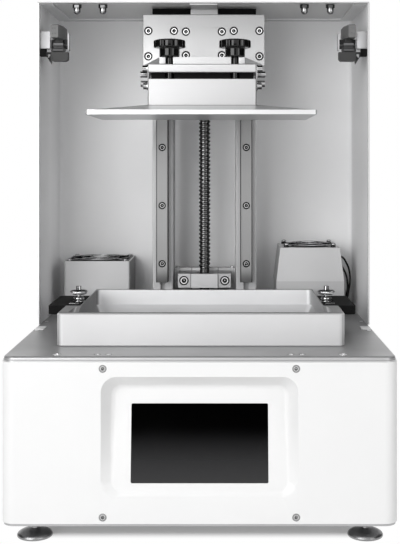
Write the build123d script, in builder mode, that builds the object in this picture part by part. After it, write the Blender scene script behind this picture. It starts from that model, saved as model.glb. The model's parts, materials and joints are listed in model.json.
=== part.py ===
"""Desktop resin printer: a base with the masking screen, an open tower with the lift, a vat and a build platform.

Millimetres, +X to the right, +Y to the back, +Z up. The origin lies on the floor under the middle of the base.
Depths are measured backwards from the front face of the base, and heights from the floor.
"""

import math
import os

from build123d import *

os.makedirs("parts", exist_ok=True)

# ---- Driving dimensions: base --------------------------------------------------------------------------------
BASE_WIDTH = 400.0
BASE_DEPTH = 370.0
BASE_CORNER = 14.0
BASE_WALL = 2.5
FOOT_HEIGHT = 19.4
FOOT_EDGE = 30.0
BOTTOM_THICKNESS = 2.6
SHELL_HEIGHT = 162.0
FRAME_THICKNESS = 1.4
DECK_THICKNESS = 4.2
FRAME_INSET = 0.8
DECK_INSET = 1.5
DECK_EDGE_ROUND = 3.0

# ---- Driving dimensions: dished front and touch screen -------------------------------------------------------
DISH_WIDTH = 198.0
DISH_HEIGHT = 121.6
DISH_LIFT = 5.6
DISH_CORNER = 16.0
DISH_SIDE_SLOPE = 10.0
DISH_END_SLOPE = 8.55
DISH_FLOOR_CORNER = 10.0
DISH_FLOOR_DROP = 3.35
DISH_FLOOR_DEPTH = 10.75
DISH_BLEND = 7.0
DISH_TILT = 8.0
SCREEN_WIDTH = 138.6
SCREEN_HEIGHT = 78.6
SCREEN_DROP = 4.75
SCREEN_MODULE_THICKNESS = 8.0
SCREEN_MODULE_BORDER = 6.0

# ---- Driving dimensions: tower -------------------------------------------------------------------------------
TOWER_SETBACK = 1.0
TOWER_DEPTH = 158.0
TOWER_WALL = 2.4
TOWER_BEND = 6.0
TOWER_HEIGHT = 385.9
TOP_THICKNESS = 2.5
FLANGE_WIDTH = 16.0
FLANGE_THICKNESS = 1.5

# ---- Driving dimensions: lift --------------------------------------------------------------------------------
COLUMN_SPACING = 104.8
COLUMN_WIDTH = 25.8
COLUMN_DEPTH = 60.0
COLUMN_CLEARANCE = 32.6
BEAM_HEIGHT = 12.5
RAIL_WIDTH = 15.0
RAIL_DEPTH = 15.0
RAIL_START = 45.2
RAIL_END = 3.0
RAIL_SCREW_START = 23.2
RAIL_SCREW_PITCH = 72.5
SCREW_SETBACK = 11.0
SCREW_RADIUS = 7.2
CARRIAGE_MARGIN = 0.6
CARRIAGE_HEIGHT = 71.5
CARRIAGE_HEADROOM = 10.0
CARRIAGE_THICKNESS = 12.0
GUIDE_CROWN = 10.4
GUIDE_WIDTH = 43.0
GUIDE_LENGTH = 60.0
ARM_LIFT = 1.2
ARM_THICKNESS = 7.8
ARM_TIP_MARGIN = 11.0
ARM_TIP_REACH = 6.0

# ---- Driving dimensions: build platform ----------------------------------------------------------------------
PLATE_WIDTH = 250.0
PLATE_DEPTH = 161.6
PLATE_OVERHANG = 7.0
PLATE_EDGE = 4.9
PLATE_RISE = 7.9
BLOCK_WIDTH = 122.0
BLOCK_DEPTH = 66.4
BLOCK_HEIGHT = 28.9
PAD_THICKNESS = 7.6
BAR_THICKNESS = 9.2
KNOB_SPACING = 74.0
KNOB_SETBACK = 8.4
KNOB_RADIUS = 18.0
KNOB_HUB_RADIUS = 11.5
STUD_RADIUS = 3.75

# ---- Driving dimensions: vat ---------------------------------------------------------------------------------
VAT_HEIGHT = 35.1
VAT_CORNER = 7.0
VAT_EDGE_ROUND = 1.2
FRONT_RIM = 9.1
BACK_RIM = 8.1
SHELF_WIDTH = 17.05
RIM_THICKNESS = 1.3
WELL_CORNER = 7.0
WELL_STRAIGHT = 18.0
WELL_SIDE_TAPER = 8.4
WELL_FRONT_TAPER = 9.8
WELL_BACK_TAPER = 17.7
FILM_SIDE_MARGIN = 1.0
FILM_END_MARGIN = 4.2
FILM_THICKNESS = 0.2
RING_THICKNESS = 1.5
RING_BORDER = 12.0
STEP_SETBACK = 61.8
STEP_DROP = 10.2

# ---- Driving dimensions: clamps, fans and hinges -------------------------------------------------------------
CLAMP_LENGTH = 90.0
CLAMP_OVERHANG = 18.25
CLAMP_THICKNESS = 9.7
POST_GAP = 1.0
POST_WIDTH = 6.0
THUMB_INSET = 10.75
THUMB_SETBACK = 35.0
FAN_SIZE = 79.6
FAN_THICKNESS = 20.0
FAN_BACK_GAP = 1.2
LEFT_BOX_GAP = 18.3
LEFT_BOX_HEIGHT = 69.4
SHEET = 1.8
DUCT_GAP = 19.0
DUCT_TAPER = 10.3
DUCT_STRAIGHT = 43.2
DUCT_HEIGHT = 85.9
DUCT_FAN_SIZE = 70.0
DUCT_FAN_GAP = 7.0
DUCT_EASE = 2.5
DUCT_BACK_GAP = 3.6
LEAD_RADIUS = 1.2
HINGE_SETBACK = 1.0
HINGE_DROP = 56.5

# ---- Clearances ----------------------------------------------------------------------------------------------
RUN_GAP = 0.06
SLIDE_GAP = 0.3
FIT_GAP = 0.2

# ---- Levels and planes that follow from them -----------------------------------------------------------------
FRONT_Y = -BASE_DEPTH / 2
SHELL_BOTTOM = FOOT_HEIGHT + BOTTOM_THICKNESS
SHELL_TOP = SHELL_BOTTOM + SHELL_HEIGHT
FRAME_TOP = SHELL_TOP + FRAME_THICKNESS
DECK = FRAME_TOP + DECK_THICKNESS
CEILING = DECK + TOWER_HEIGHT
DISH_CENTRE_HEIGHT = SHELL_BOTTOM + SHELL_HEIGHT / 2 + DISH_LIFT
DISH_FLOOR_WIDTH = DISH_WIDTH - 2 * DISH_SIDE_SLOPE
DISH_FLOOR_HEIGHT = DISH_HEIGHT - 2 * DISH_END_SLOPE
DISH_FLOOR_CENTRE_HEIGHT = DISH_CENTRE_HEIGHT - DISH_FLOOR_DROP
SCREEN_CENTRE_HEIGHT = DISH_FLOOR_CENTRE_HEIGHT - SCREEN_DROP
TOWER_WIDTH = BASE_WIDTH - 2 * TOWER_SETBACK
TOWER_BACK = BASE_DEPTH - TOWER_SETBACK
TOWER_FRONT = TOWER_BACK - TOWER_DEPTH
TOWER_INSIDE = TOWER_WIDTH / 2 - TOWER_WALL
TOWER_BACK_INSIDE = TOWER_BACK - TOWER_WALL
COLUMN_TOP = CEILING - BEAM_HEIGHT
COLUMN_BACK = TOWER_BACK_INSIDE - COLUMN_CLEARANCE
COLUMN_FRONT = COLUMN_BACK - COLUMN_DEPTH
COLUMN_X = COLUMN_SPACING / 2
SCREW_DEPTH = COLUMN_FRONT + SCREW_SETBACK
RAIL_FRONT = COLUMN_FRONT - RAIL_DEPTH
CARRIAGE_WIDTH = COLUMN_SPACING + GUIDE_WIDTH + 2 * CARRIAGE_MARGIN
CARRIAGE_BACK = RAIL_FRONT - GUIDE_CROWN
CARRIAGE_FRONT = CARRIAGE_BACK - CARRIAGE_THICKNESS
CARRIAGE_TOP = CEILING - CARRIAGE_HEADROOM
CARRIAGE_BOTTOM = CARRIAGE_TOP - CARRIAGE_HEIGHT
ARM_BOTTOM = CARRIAGE_BOTTOM + ARM_LIFT
ARM_TOP = ARM_BOTTOM + ARM_THICKNESS
BAR_TOP = ARM_BOTTOM - SLIDE_GAP
PAD_TOP = BAR_TOP - BAR_THICKNESS
BLOCK_TOP = PAD_TOP - PAD_THICKNESS
PLATE_ROOF = BLOCK_TOP - BLOCK_HEIGHT
PLATE_BOTTOM = PLATE_ROOF - PLATE_RISE - PLATE_EDGE
PLATE_CENTRE = CARRIAGE_FRONT + PLATE_OVERHANG - PLATE_DEPTH / 2
KNOB_DEPTH = PLATE_CENTRE - BLOCK_DEPTH / 2 + KNOB_SETBACK
ARM_FRONT = KNOB_DEPTH - ARM_TIP_REACH
ARM_FRONT_WIDTH = KNOB_SPACING + 2 * ARM_TIP_MARGIN
FILM_OPENING_WIDTH = PLATE_WIDTH + 2 * FILM_SIDE_MARGIN
FILM_FRONT = PLATE_CENTRE - PLATE_DEPTH / 2 - FILM_END_MARGIN
FILM_BACK = PLATE_CENTRE + PLATE_DEPTH / 2 + FILM_END_MARGIN
WELL_WIDTH = FILM_OPENING_WIDTH + 2 * WELL_SIDE_TAPER
WELL_FRONT = FILM_FRONT - WELL_FRONT_TAPER
WELL_BACK = FILM_BACK + WELL_BACK_TAPER
VAT_WIDTH = WELL_WIDTH + 2 * (RIM_THICKNESS + SHELF_WIDTH)
VAT_FRONT = WELL_FRONT - FRONT_RIM
VAT_BACK = WELL_BACK + BACK_RIM
VAT_TOP = DECK + VAT_HEIGHT
VAT_CENTRE = (VAT_FRONT + VAT_BACK) / 2
STEP_DEPTH = VAT_FRONT + STEP_SETBACK
CLAMP_FRONT = STEP_DEPTH + SLIDE_GAP
CLAMP_BACK = CLAMP_FRONT + CLAMP_LENGTH
POST_INSIDE = VAT_WIDTH / 2 + POST_GAP
CLAMP_OUTSIDE = POST_INSIDE + CLAMP_OVERHANG
THUMB_X = VAT_WIDTH / 2 - THUMB_INSET
THUMB_DEPTH = CLAMP_FRONT + THUMB_SETBACK
FAN_FRONT = TOWER_BACK_INSIDE - FAN_BACK_GAP - FAN_SIZE - SHEET
FAN_CENTRE_DEPTH = FAN_FRONT + SHEET + FAN_SIZE / 2
LEFT_BOX_CENTRE = LEFT_BOX_GAP + SHEET + FIT_GAP + FAN_SIZE / 2 - TOWER_INSIDE
DUCT_TOP_WIDTH = DUCT_FAN_SIZE + 2 * SHEET + DUCT_EASE
DUCT_WIDTH = DUCT_TOP_WIDTH + DUCT_TAPER
DUCT_CENTRE = TOWER_INSIDE - DUCT_GAP - DUCT_WIDTH / 2
DUCT_FRONT = TOWER_BACK_INSIDE - DUCT_BACK_GAP - DUCT_FAN_SIZE - DUCT_FAN_GAP
DUCT_FAN_DEPTH = DUCT_FRONT + DUCT_FAN_GAP + DUCT_FAN_SIZE / 2
HINGE_PIVOT_DEPTH = TOWER_FRONT + HINGE_SETBACK
HINGE_PIVOT_HEIGHT = CEILING - HINGE_DROP

CENTRED_UP = (Align.CENTER, Align.CENTER, Align.MIN)
CENTRED_DOWN = (Align.CENTER, Align.CENTER, Align.MAX)


def y_at(depth):
    """The Y of a depth behind the front face of the base."""
    return FRONT_Y + depth


def keep(piece, label):
    """Names a finished piece and writes its file."""
    piece.part.label = label
    export_step(piece.part, f"parts/{label}.step")


def slab(x, depth, z, mode=Mode.ADD):
    """A box between the low and high values of x, depth and z."""
    centre = (sum(x) / 2, y_at(sum(depth) / 2), sum(z) / 2)
    with Locations(centre):
        Box(x[1] - x[0], depth[1] - depth[0], z[1] - z[0], mode=mode)


def mirrored_slab(x, depth, z, mode=Mode.ADD):
    """The same box on both sides of the middle plane."""
    slab(x, depth, z, mode)
    slab((-x[1], -x[0]), depth, z, mode)


def facing_front(x, depth, z):
    """A place whose own +Z points out of the front, for holes and screws that go in from there."""
    return Plane(origin=(x, y_at(depth), z), x_dir=(1, 0, 0), z_dir=(0, -1, 0)).location


def facing_up(x, depth, z):
    """A place whose own +Z points up."""
    return Location((x, y_at(depth), z))


def both_sides(x_values, other):
    """Every x with both signs, each with every one of the other pairs."""
    return [(side * x, *rest) for x in x_values for side in (-1, 1) for rest in other]


def socket_screws(places, head, head_height, shank, length, key):
    """Socket head screws: head undersides at the places, shanks going down their own -Z."""
    with Locations(*places):
        Cylinder(head, head_height, align=CENTRED_UP)
        Cylinder(shank, length, align=CENTRED_DOWN)
    with Locations(*[place * Location((0, 0, head_height)) for place in places]):
        Cylinder(key, head_height * 0.6, align=CENTRED_DOWN, mode=Mode.SUBTRACT)


# ---- Base ---------------------------------------------------------------------------------------------------
FOOT_RADIUS = 18.2
FOOT_DISC = 6.0
FOOT_SHOULDER_RADIUS = 12.0
FOOT_SHOULDER = 3.4
FOOT_STEM_RADIUS = 5.0
FOOT_NUT_HEIGHT = 4.0
FOOT_BEVEL = 2.2
BOSS_RADIUS = 9.0
BOSS_HEIGHT = 7.0
FOOT_STEM_TOP = SHELL_BOTTOM + BOSS_HEIGHT - 0.5
FOOT_X = BASE_WIDTH / 2 - FOOT_EDGE
FOOT_DEPTHS = (FOOT_EDGE, BASE_DEPTH - FOOT_EDGE)


def foot(x, depth, label):
    """A levelling foot: a soft-edged disc on a stem that screws into the bottom plate."""
    with BuildPart() as piece:
        with Locations(facing_up(x, depth, 0)):
            Cylinder(FOOT_RADIUS, FOOT_DISC, align=CENTRED_UP)
        chamfer(piece.edges().group_by(Axis.Z)[-1], FOOT_BEVEL, 2 * FOOT_BEVEL)
        chamfer(piece.edges().group_by(Axis.Z)[0], FOOT_BEVEL / 3)
        with Locations(facing_up(x, depth, FOOT_DISC)):
            Cone(
                FOOT_SHOULDER_RADIUS, FOOT_SHOULDER_RADIUS * 0.75, FOOT_SHOULDER,
                align=CENTRED_UP,
            )
        with Locations(facing_up(x, depth, 0)):
            Cylinder(FOOT_STEM_RADIUS, FOOT_STEM_TOP, align=CENTRED_UP)
        with BuildSketch(Plane.XY.offset(FOOT_DISC + FOOT_SHOULDER)) as nut:
            with Locations((x, y_at(depth))):
                RegularPolygon(FOOT_STEM_RADIUS * 1.7, 6)
        extrude(nut.sketch, amount=FOOT_NUT_HEIGHT)
    keep(piece, label)


def feet():
    """One foot near each corner."""
    for depth, row in zip(FOOT_DEPTHS, ("front", "rear")):
        for side, hand in ((-1, "left"), (1, "right")):
            foot(side * FOOT_X, depth, f"foot_{row}_{hand}")


VENT_SLOT_LENGTH = 70.0
VENT_SLOT_WIDTH = 3.0
VENT_SLOTS = 8
VENT_PITCH = 9.0
LAMP_CENTRE = PLATE_CENTRE


def bottom_plate():
    """The steel floor of the base, with bosses for the feet and slots under the lamp fan."""
    inset = DECK_INSET
    corner = BASE_CORNER - inset
    foot_places = [facing_up(side * FOOT_X, depth, SHELL_BOTTOM) for side in (-1, 1) for depth in FOOT_DEPTHS]
    with BuildPart() as piece:
        with BuildSketch(Plane.XY.offset(FOOT_HEIGHT)):
            RectangleRounded(BASE_WIDTH - 2 * inset, BASE_DEPTH - 2 * inset, corner)
        extrude(amount=BOTTOM_THICKNESS)
        with Locations(*foot_places):
            Cylinder(BOSS_RADIUS, BOSS_HEIGHT, align=CENTRED_UP)
        with Locations(*[place * Location((0, 0, BOSS_HEIGHT)) for place in foot_places]):
            Hole(FOOT_STEM_RADIUS + RUN_GAP)
        with BuildSketch(Plane.XY.offset(FOOT_HEIGHT)):
            with Locations((0, y_at(LAMP_CENTRE))):
                with GridLocations(VENT_PITCH, 0, VENT_SLOTS, 1):
                    SlotOverall(VENT_SLOT_LENGTH, VENT_SLOT_WIDTH, rotation=90)
        extrude(amount=BOTTOM_THICKNESS, mode=Mode.SUBTRACT)
    keep(piece, "bottom_plate")


FRONT_PLANE = Plane(origin=(0, FRONT_Y, 0), x_dir=(1, 0, 0), z_dir=(0, -1, 0))
TILT_SIN = math.sin(math.radians(DISH_TILT))
TILT_COS = math.cos(math.radians(DISH_TILT))
DISH_FLOOR = Plane(
    origin=(0, y_at(DISH_FLOOR_DEPTH), DISH_FLOOR_CENTRE_HEIGHT),
    x_dir=(1, 0, 0),
    z_dir=(0, -TILT_COS, TILT_SIN),
)
SCREEN_OFFSET = (SCREEN_CENTRE_HEIGHT - DISH_FLOOR_CENTRE_HEIGHT) / TILT_COS
CASE_SCREW_HEAD = 3.8
CASE_SCREW_HEAD_HEIGHT = 2.3
CASE_SCREW_SHANK = 2.0
CASE_SCREW_LENGTH = 7.0
CASE_SCREW_X = 97.0
CASE_SCREW_EDGE = 6.5
CASE_BOSS_RADIUS = 5.2
CASE_BOSS_LENGTH = 9.0
CASE_SCREWS = [
    facing_front(side * CASE_SCREW_X, CASE_SCREW_HEAD_HEIGHT, z)
    for side in (-1, 1)
    for z in (SHELL_BOTTOM + CASE_SCREW_EDGE, SHELL_TOP - CASE_SCREW_EDGE)
]
INLET_X = 50.0 - BASE_WIDTH / 2
INLET_HEIGHT = 55.0
INLET_WIDTH = 27.4
INLET_TALL = 47.0
PORTS_X = (BASE_WIDTH / 2 - 72.0, BASE_WIDTH / 2 - 40.0)
PORT_SIZES = ((13.0, 11.0), (16.5, 14.0))
BOARD_BOTTOM = SHELL_BOTTOM + 8.0
BOARD_THICKNESS = 1.6


def dish(grow, back, blend):
    """The dished hollow in the front, larger by grow all round and deeper by back, blended into its floor."""
    with BuildPart() as solid:
        with BuildSketch(FRONT_PLANE.offset(-grow / 2)):
            with Locations((0, DISH_CENTRE_HEIGHT)):
                RectangleRounded(DISH_WIDTH + 2 * grow, DISH_HEIGHT + 2 * grow, DISH_CORNER + grow)
        with BuildSketch(DISH_FLOOR.offset(-back)):
            RectangleRounded(
                DISH_FLOOR_WIDTH + 2 * grow, DISH_FLOOR_HEIGHT + 2 * grow, DISH_FLOOR_CORNER + grow
            )
        loft(ruled=True)
        if blend:
            fillet(solid.faces().sort_by(Axis.Y)[-1].edges(), blend)
    return solid.part


def base_shell():
    """The white casing of the base: four walls round, with the dished front for the screen."""
    dish_wall = dish(BASE_WALL, BASE_WALL, 0)
    dish_hollow = dish(0, 0, DISH_BLEND)
    with BuildPart() as piece:
        with BuildSketch(Plane.XY.offset(SHELL_BOTTOM)):
            RectangleRounded(BASE_WIDTH, BASE_DEPTH, BASE_CORNER)
            RectangleRounded(
                BASE_WIDTH - 2 * BASE_WALL, BASE_DEPTH - 2 * BASE_WALL, BASE_CORNER - BASE_WALL,
                mode=Mode.SUBTRACT,
            )
        extrude(amount=SHELL_HEIGHT)
        add(dish_wall)
        add(dish_hollow, mode=Mode.SUBTRACT)
        with BuildSketch(DISH_FLOOR):
            with Locations((0, SCREEN_OFFSET)):
                RectangleRounded(SCREEN_WIDTH + FIT_GAP, SCREEN_HEIGHT + FIT_GAP, 1.5)
        extrude(amount=-2 * BASE_WALL, mode=Mode.SUBTRACT)
        with Locations(*CASE_SCREWS):
            Cylinder(CASE_BOSS_RADIUS, CASE_BOSS_LENGTH, align=CENTRED_DOWN)
        with Locations(*[place * Location((0, 0, CASE_SCREW_HEAD_HEIGHT)) for place in CASE_SCREWS]):
            CounterBoreHole(
                CASE_SCREW_SHANK + FIT_GAP / 2, CASE_SCREW_HEAD + FIT_GAP, CASE_SCREW_HEAD_HEIGHT,
                depth=CASE_BOSS_LENGTH + CASE_SCREW_HEAD_HEIGHT,
            )
        back = (BASE_DEPTH - 2 * BASE_WALL, BASE_DEPTH)
        slab(
            (INLET_X - INLET_WIDTH / 2 - FIT_GAP, INLET_X + INLET_WIDTH / 2 + FIT_GAP),
            back,
            (INLET_HEIGHT - INLET_TALL / 2 - FIT_GAP, INLET_HEIGHT + INLET_TALL / 2 + FIT_GAP),
            mode=Mode.SUBTRACT,
        )
        port_floor = BOARD_BOTTOM + BOARD_THICKNESS
        for x, (wide, tall) in zip(PORTS_X, PORT_SIZES):
            slab(
                (x - wide / 2 - FIT_GAP, x + wide / 2 + FIT_GAP),
                back,
                (port_floor - FIT_GAP, port_floor + tall + FIT_GAP),
                mode=Mode.SUBTRACT,
            )
    keep(piece, "base_shell")


def touch_screen():
    """The control screen: its glass fills the cut-out and the module lies behind the dish."""
    with BuildPart() as piece:
        with BuildSketch(DISH_FLOOR):
            with Locations((0, SCREEN_OFFSET)):
                RectangleRounded(SCREEN_WIDTH, SCREEN_HEIGHT, 1.4)
        extrude(amount=-BASE_WALL)
        with BuildSketch(DISH_FLOOR.offset(-BASE_WALL)):
            with Locations((0, SCREEN_OFFSET)):
                Rectangle(SCREEN_WIDTH + 2 * SCREEN_MODULE_BORDER, SCREEN_HEIGHT + 2 * SCREEN_MODULE_BORDER)
        extrude(amount=-SCREEN_MODULE_THICKNESS)
    keep(piece, "touch_screen")


# ---- Deck ---------------------------------------------------------------------------------------------------
MASK_WIDTH = 212.0
MASK_DEPTH = 142.0
MASK_THICKNESS = 1.6
WINDOW_WIDTH = 194.0
WINDOW_DEPTH = 122.0
DECK_SCREW_DEPTH = 14.0
DECK_BIG_SCREW_X = BASE_WIDTH / 2 - 54.5
DECK_SMALL_SCREW_X = (92.5, 104.0)
DECK_BIG_HEAD = 5.5
DECK_SMALL_HEAD = 3.75
DECK_SCREW_SHANK = 2.0
DECK_SCREW_LENGTH = 9.0
AIR_HOLE = 60.0
SCREW_HOLE_RADIUS = 9.0
LEAD_HOLE_X = TOWER_INSIDE - 15.6
LEAD_DEPTH = DUCT_FRONT + 20.0
LEAD_SPACING = 5.0


def deck_holes():
    """Cuts what both deck layers share: the mask window, the lift screw, the air holes and the fan leads."""
    through = (FRAME_TOP - FRAME_THICKNESS, DECK)
    half = AIR_HOLE / 2
    slab(
        (-WINDOW_WIDTH / 2, WINDOW_WIDTH / 2),
        (LAMP_CENTRE - WINDOW_DEPTH / 2, LAMP_CENTRE + WINDOW_DEPTH / 2),
        through,
        mode=Mode.SUBTRACT,
    )
    for x, depth in ((LEFT_BOX_CENTRE, FAN_CENTRE_DEPTH), (DUCT_CENTRE, DUCT_FAN_DEPTH)):
        slab((x - half, x + half), (depth - half, depth + half), through, mode=Mode.SUBTRACT)
    with Locations(facing_up(0, SCREW_DEPTH, DECK)):
        Hole(SCREW_HOLE_RADIUS)
    with Locations(*[facing_up(LEAD_HOLE_X, LEAD_DEPTH + i * LEAD_SPACING, DECK) for i in range(2)]):
        Hole(LEAD_RADIUS + FIT_GAP)


def deck_frame():
    """The steel sheet that closes the base and carries the deck."""
    with BuildPart() as piece:
        with BuildSketch(Plane.XY.offset(SHELL_TOP)):
            RectangleRounded(BASE_WIDTH - 2 * FRAME_INSET, BASE_DEPTH - 2 * FRAME_INSET, BASE_CORNER - FRAME_INSET)
        extrude(amount=FRAME_THICKNESS)
        deck_holes()
        with Locations(*deck_screw_places()):
            Hole(DECK_SCREW_SHANK + FIT_GAP)
    keep(piece, "deck_frame")


def deck_screw_places(small=True, big=True):
    """Where the countersunk screws stand along the front edge of the deck."""
    rows = ([DECK_BIG_SCREW_X] if big else []) + (list(DECK_SMALL_SCREW_X) if small else [])
    return [facing_up(side * x, DECK_SCREW_DEPTH, DECK) for x in rows for side in (-1, 1)]


def deck_plate():
    """The anodised top of the base, with the mask's pocket and a soft top edge."""
    with BuildPart() as piece:
        with BuildSketch(Plane.XY.offset(FRAME_TOP)):
            RectangleRounded(BASE_WIDTH - 2 * DECK_INSET, BASE_DEPTH - 2 * DECK_INSET, BASE_CORNER - DECK_INSET)
        extrude(amount=DECK_THICKNESS)
        fillet(piece.edges().group_by(Axis.Z)[-1], DECK_EDGE_ROUND)
        deck_holes()
        slab(
            (-MASK_WIDTH / 2, MASK_WIDTH / 2),
            (LAMP_CENTRE - MASK_DEPTH / 2, LAMP_CENTRE + MASK_DEPTH / 2),
            (DECK - MASK_THICKNESS, DECK),
            mode=Mode.SUBTRACT,
        )
        with Locations(*deck_screw_places(small=False)):
            CounterSinkHole(DECK_SCREW_SHANK + FIT_GAP, DECK_BIG_HEAD, counter_sink_angle=120)
        with Locations(*deck_screw_places(big=False)):
            CounterSinkHole(DECK_SCREW_SHANK + FIT_GAP, DECK_SMALL_HEAD, counter_sink_angle=90)
    keep(piece, "deck_plate")


def mask_panel():
    """The masking screen under the vat, flush with the deck."""
    with BuildPart() as piece:
        with BuildSketch(Plane.XY.offset(DECK - MASK_THICKNESS)):
            with Locations((0, y_at(LAMP_CENTRE))):
                Rectangle(MASK_WIDTH - FIT_GAP, MASK_DEPTH - FIT_GAP)
        extrude(amount=MASK_THICKNESS)
    keep(piece, "mask_panel")


PAD_WIDTH = 10.5
PAD_LENGTH = 21.0
PAD_HEIGHT = 1.0
PAD_OUTSIDE = BASE_WIDTH / 2 - 4.6
PAD_BACK = TOWER_FRONT - 18.0


def cover_pads():
    """Two small white pads on the deck that the lid comes down on."""
    with BuildPart() as piece:
        with BuildSketch(Plane.XY.offset(DECK)):
            with Locations(*[
                (side * (PAD_OUTSIDE - PAD_WIDTH / 2), y_at(PAD_BACK - PAD_LENGTH / 2)) for side in (-1, 1)
            ]):
                RectangleRounded(PAD_WIDTH, PAD_LENGTH, 1.2)
        extrude(amount=PAD_HEIGHT)
    keep(piece, "cover_pads")


# ---- Inside the base ----------------------------------------------------------------------------------------
LAMP_WIDTH = 210.0
LAMP_DEPTH = 140.0
LAMP_SHEET = 1.5
LAMP_HEIGHT = 72.0
LED_BOARD = 2.0
SINK_BASE = 5.0
FIN_HEIGHT = 18.0
FIN_COUNT = 14
FIN_THICKNESS = 2.0
LAMP_FAN_SIZE = 80.0
LAMP_FAN_THICKNESS = 25.0
LAMP_BOTTOM = SHELL_TOP - LAMP_HEIGHT
FIN_BOTTOM = LAMP_BOTTOM - LED_BOARD - SINK_BASE - FIN_HEIGHT


def uv_lamp():
    """The exposure lamp: a light box under the mask, the LED board and its finned heat sink."""
    centre = facing_up(0, LAMP_CENTRE, LAMP_BOTTOM)
    with BuildPart() as piece:
        with Locations(centre):
            Box(LAMP_WIDTH, LAMP_DEPTH, LAMP_HEIGHT, align=CENTRED_UP)
            Box(
                LAMP_WIDTH - 2 * LAMP_SHEET, LAMP_DEPTH - 2 * LAMP_SHEET, LAMP_HEIGHT,
                align=CENTRED_UP, mode=Mode.SUBTRACT,
            )
            Box(LAMP_WIDTH, LAMP_DEPTH, LED_BOARD + SINK_BASE, align=CENTRED_DOWN)
        with Locations(facing_up(0, LAMP_CENTRE, FIN_BOTTOM)):
            with GridLocations(LAMP_WIDTH / FIN_COUNT, 0, FIN_COUNT, 1):
                Box(FIN_THICKNESS, LAMP_DEPTH, FIN_HEIGHT, align=CENTRED_UP)
        with Locations(facing_up(0, LAMP_CENTRE, LAMP_BOTTOM)):
            with GridLocations(LAMP_WIDTH / 8, LAMP_DEPTH / 6, 7, 5):
                Box(5, 5, 2, align=CENTRED_UP)
    keep(piece, "uv_lamp")


FAN_BLADES = 7
FAN_HUB_SHARE = 0.2
FAN_TIP_SHARE = 0.45
FAN_BORE_SHARE = 0.475
SPINDLE_RADIUS = 1.5


def fan_frame(place, size, thickness):
    """A square fan housing with a round air way, four struts and the spindle's seat. The place is its bottom."""
    bore = size * FAN_BORE_SHARE
    hub = size * FAN_HUB_SHARE
    strut = thickness * 0.15
    with Locations(place):
        Box(size, size, thickness, align=CENTRED_UP)
        Cylinder(bore, thickness, align=CENTRED_UP, mode=Mode.SUBTRACT)
        Cylinder(hub, strut, align=CENTRED_UP)
        with PolarLocations(0, 4, start_angle=45):
            Box(2 * bore + 2, strut * 1.4, strut, align=CENTRED_UP)
        Cylinder(SPINDLE_RADIUS, thickness * 0.7, align=CENTRED_UP)


def fan_rotor(place, size, thickness, label):
    """The hub and twisted blades that turn on the housing's spindle."""
    hub = size * FAN_HUB_SHARE
    tip = size * FAN_TIP_SHARE
    low = thickness * 0.2
    tall = thickness * 0.7
    with BuildPart() as piece:
        with Locations(place * Location((0, 0, low))):
            Cylinder(hub, tall, align=CENTRED_UP)
            with PolarLocations((hub + tip) / 2 - 0.5, FAN_BLADES):
                with Locations(Location((0, 0, tall / 2), (40, 0, 0))):
                    Box(tip - hub, tall, 1.2)
        with Locations(place * Location((0, 0, thickness * 0.75))):
            Cylinder(SPINDLE_RADIUS + RUN_GAP, thickness, align=CENTRED_DOWN, mode=Mode.SUBTRACT)
    keep(piece, label)


def lamp_fan():
    """The fan that cools the lamp's heat sink."""
    place = facing_up(0, LAMP_CENTRE, FIN_BOTTOM - LAMP_FAN_THICKNESS)
    with BuildPart() as frame:
        fan_frame(place, LAMP_FAN_SIZE, LAMP_FAN_THICKNESS)
    keep(frame, "lamp_fan_frame")
    fan_rotor(place, LAMP_FAN_SIZE, LAMP_FAN_THICKNESS, "lamp_fan_rotor")


BOARD_X = (BASE_WIDTH / 2 - 89.0, BASE_WIDTH / 2 - 9.0)
BOARD_DEPTHS = (BASE_DEPTH - 108.0, BASE_DEPTH - 8.0)
STANDOFF_RADIUS = 3.0
STANDOFF_INSET = 6.0


def mainboard():
    """The control board on four standoffs, with its chips and the two ports that reach through the back."""
    top = BOARD_BOTTOM + BOARD_THICKNESS
    corners = [
        facing_up(x, depth, SHELL_BOTTOM)
        for x in (BOARD_X[0] + STANDOFF_INSET, BOARD_X[1] - STANDOFF_INSET)
        for depth in (BOARD_DEPTHS[0] + STANDOFF_INSET, BOARD_DEPTHS[1] - STANDOFF_INSET)
    ]
    middle = (sum(BOARD_X) / 2, sum(BOARD_DEPTHS) / 2)
    with BuildPart() as piece:
        slab(BOARD_X, BOARD_DEPTHS, (BOARD_BOTTOM, top))
        with Locations(*corners):
            Cylinder(STANDOFF_RADIUS, BOARD_BOTTOM - SHELL_BOTTOM, align=CENTRED_UP)
        slab((middle[0] - 12, middle[0] + 12), (middle[1] - 12, middle[1] + 12), (top, top + 3))
        slab((middle[0] - 30, middle[0] - 18), (middle[1] - 20, middle[1] + 10), (top, top + 8))
        slab((middle[0] + 18, middle[0] + 32), (middle[1] - 34, middle[1] - 8), (top, top + 12))
        for x, (wide, tall) in zip(PORTS_X, PORT_SIZES):
            slab((x - wide / 2, x + wide / 2), (BASE_DEPTH - 18, BASE_DEPTH), (top, top + tall))
            slab((x - wide / 2 + 1.5, x + wide / 2 - 1.5), (BASE_DEPTH - 9, BASE_DEPTH), (top + 2, top + tall - 2),
                 mode=Mode.SUBTRACT)
    keep(piece, "mainboard")


SUPPLY_X = (9.0 - BASE_WIDTH / 2, 105.0 - BASE_WIDTH / 2)
SUPPLY_DEPTHS = (BASE_DEPTH - 220.0, BASE_DEPTH - 40.0)
SUPPLY_HEIGHT = 45.0


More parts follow.
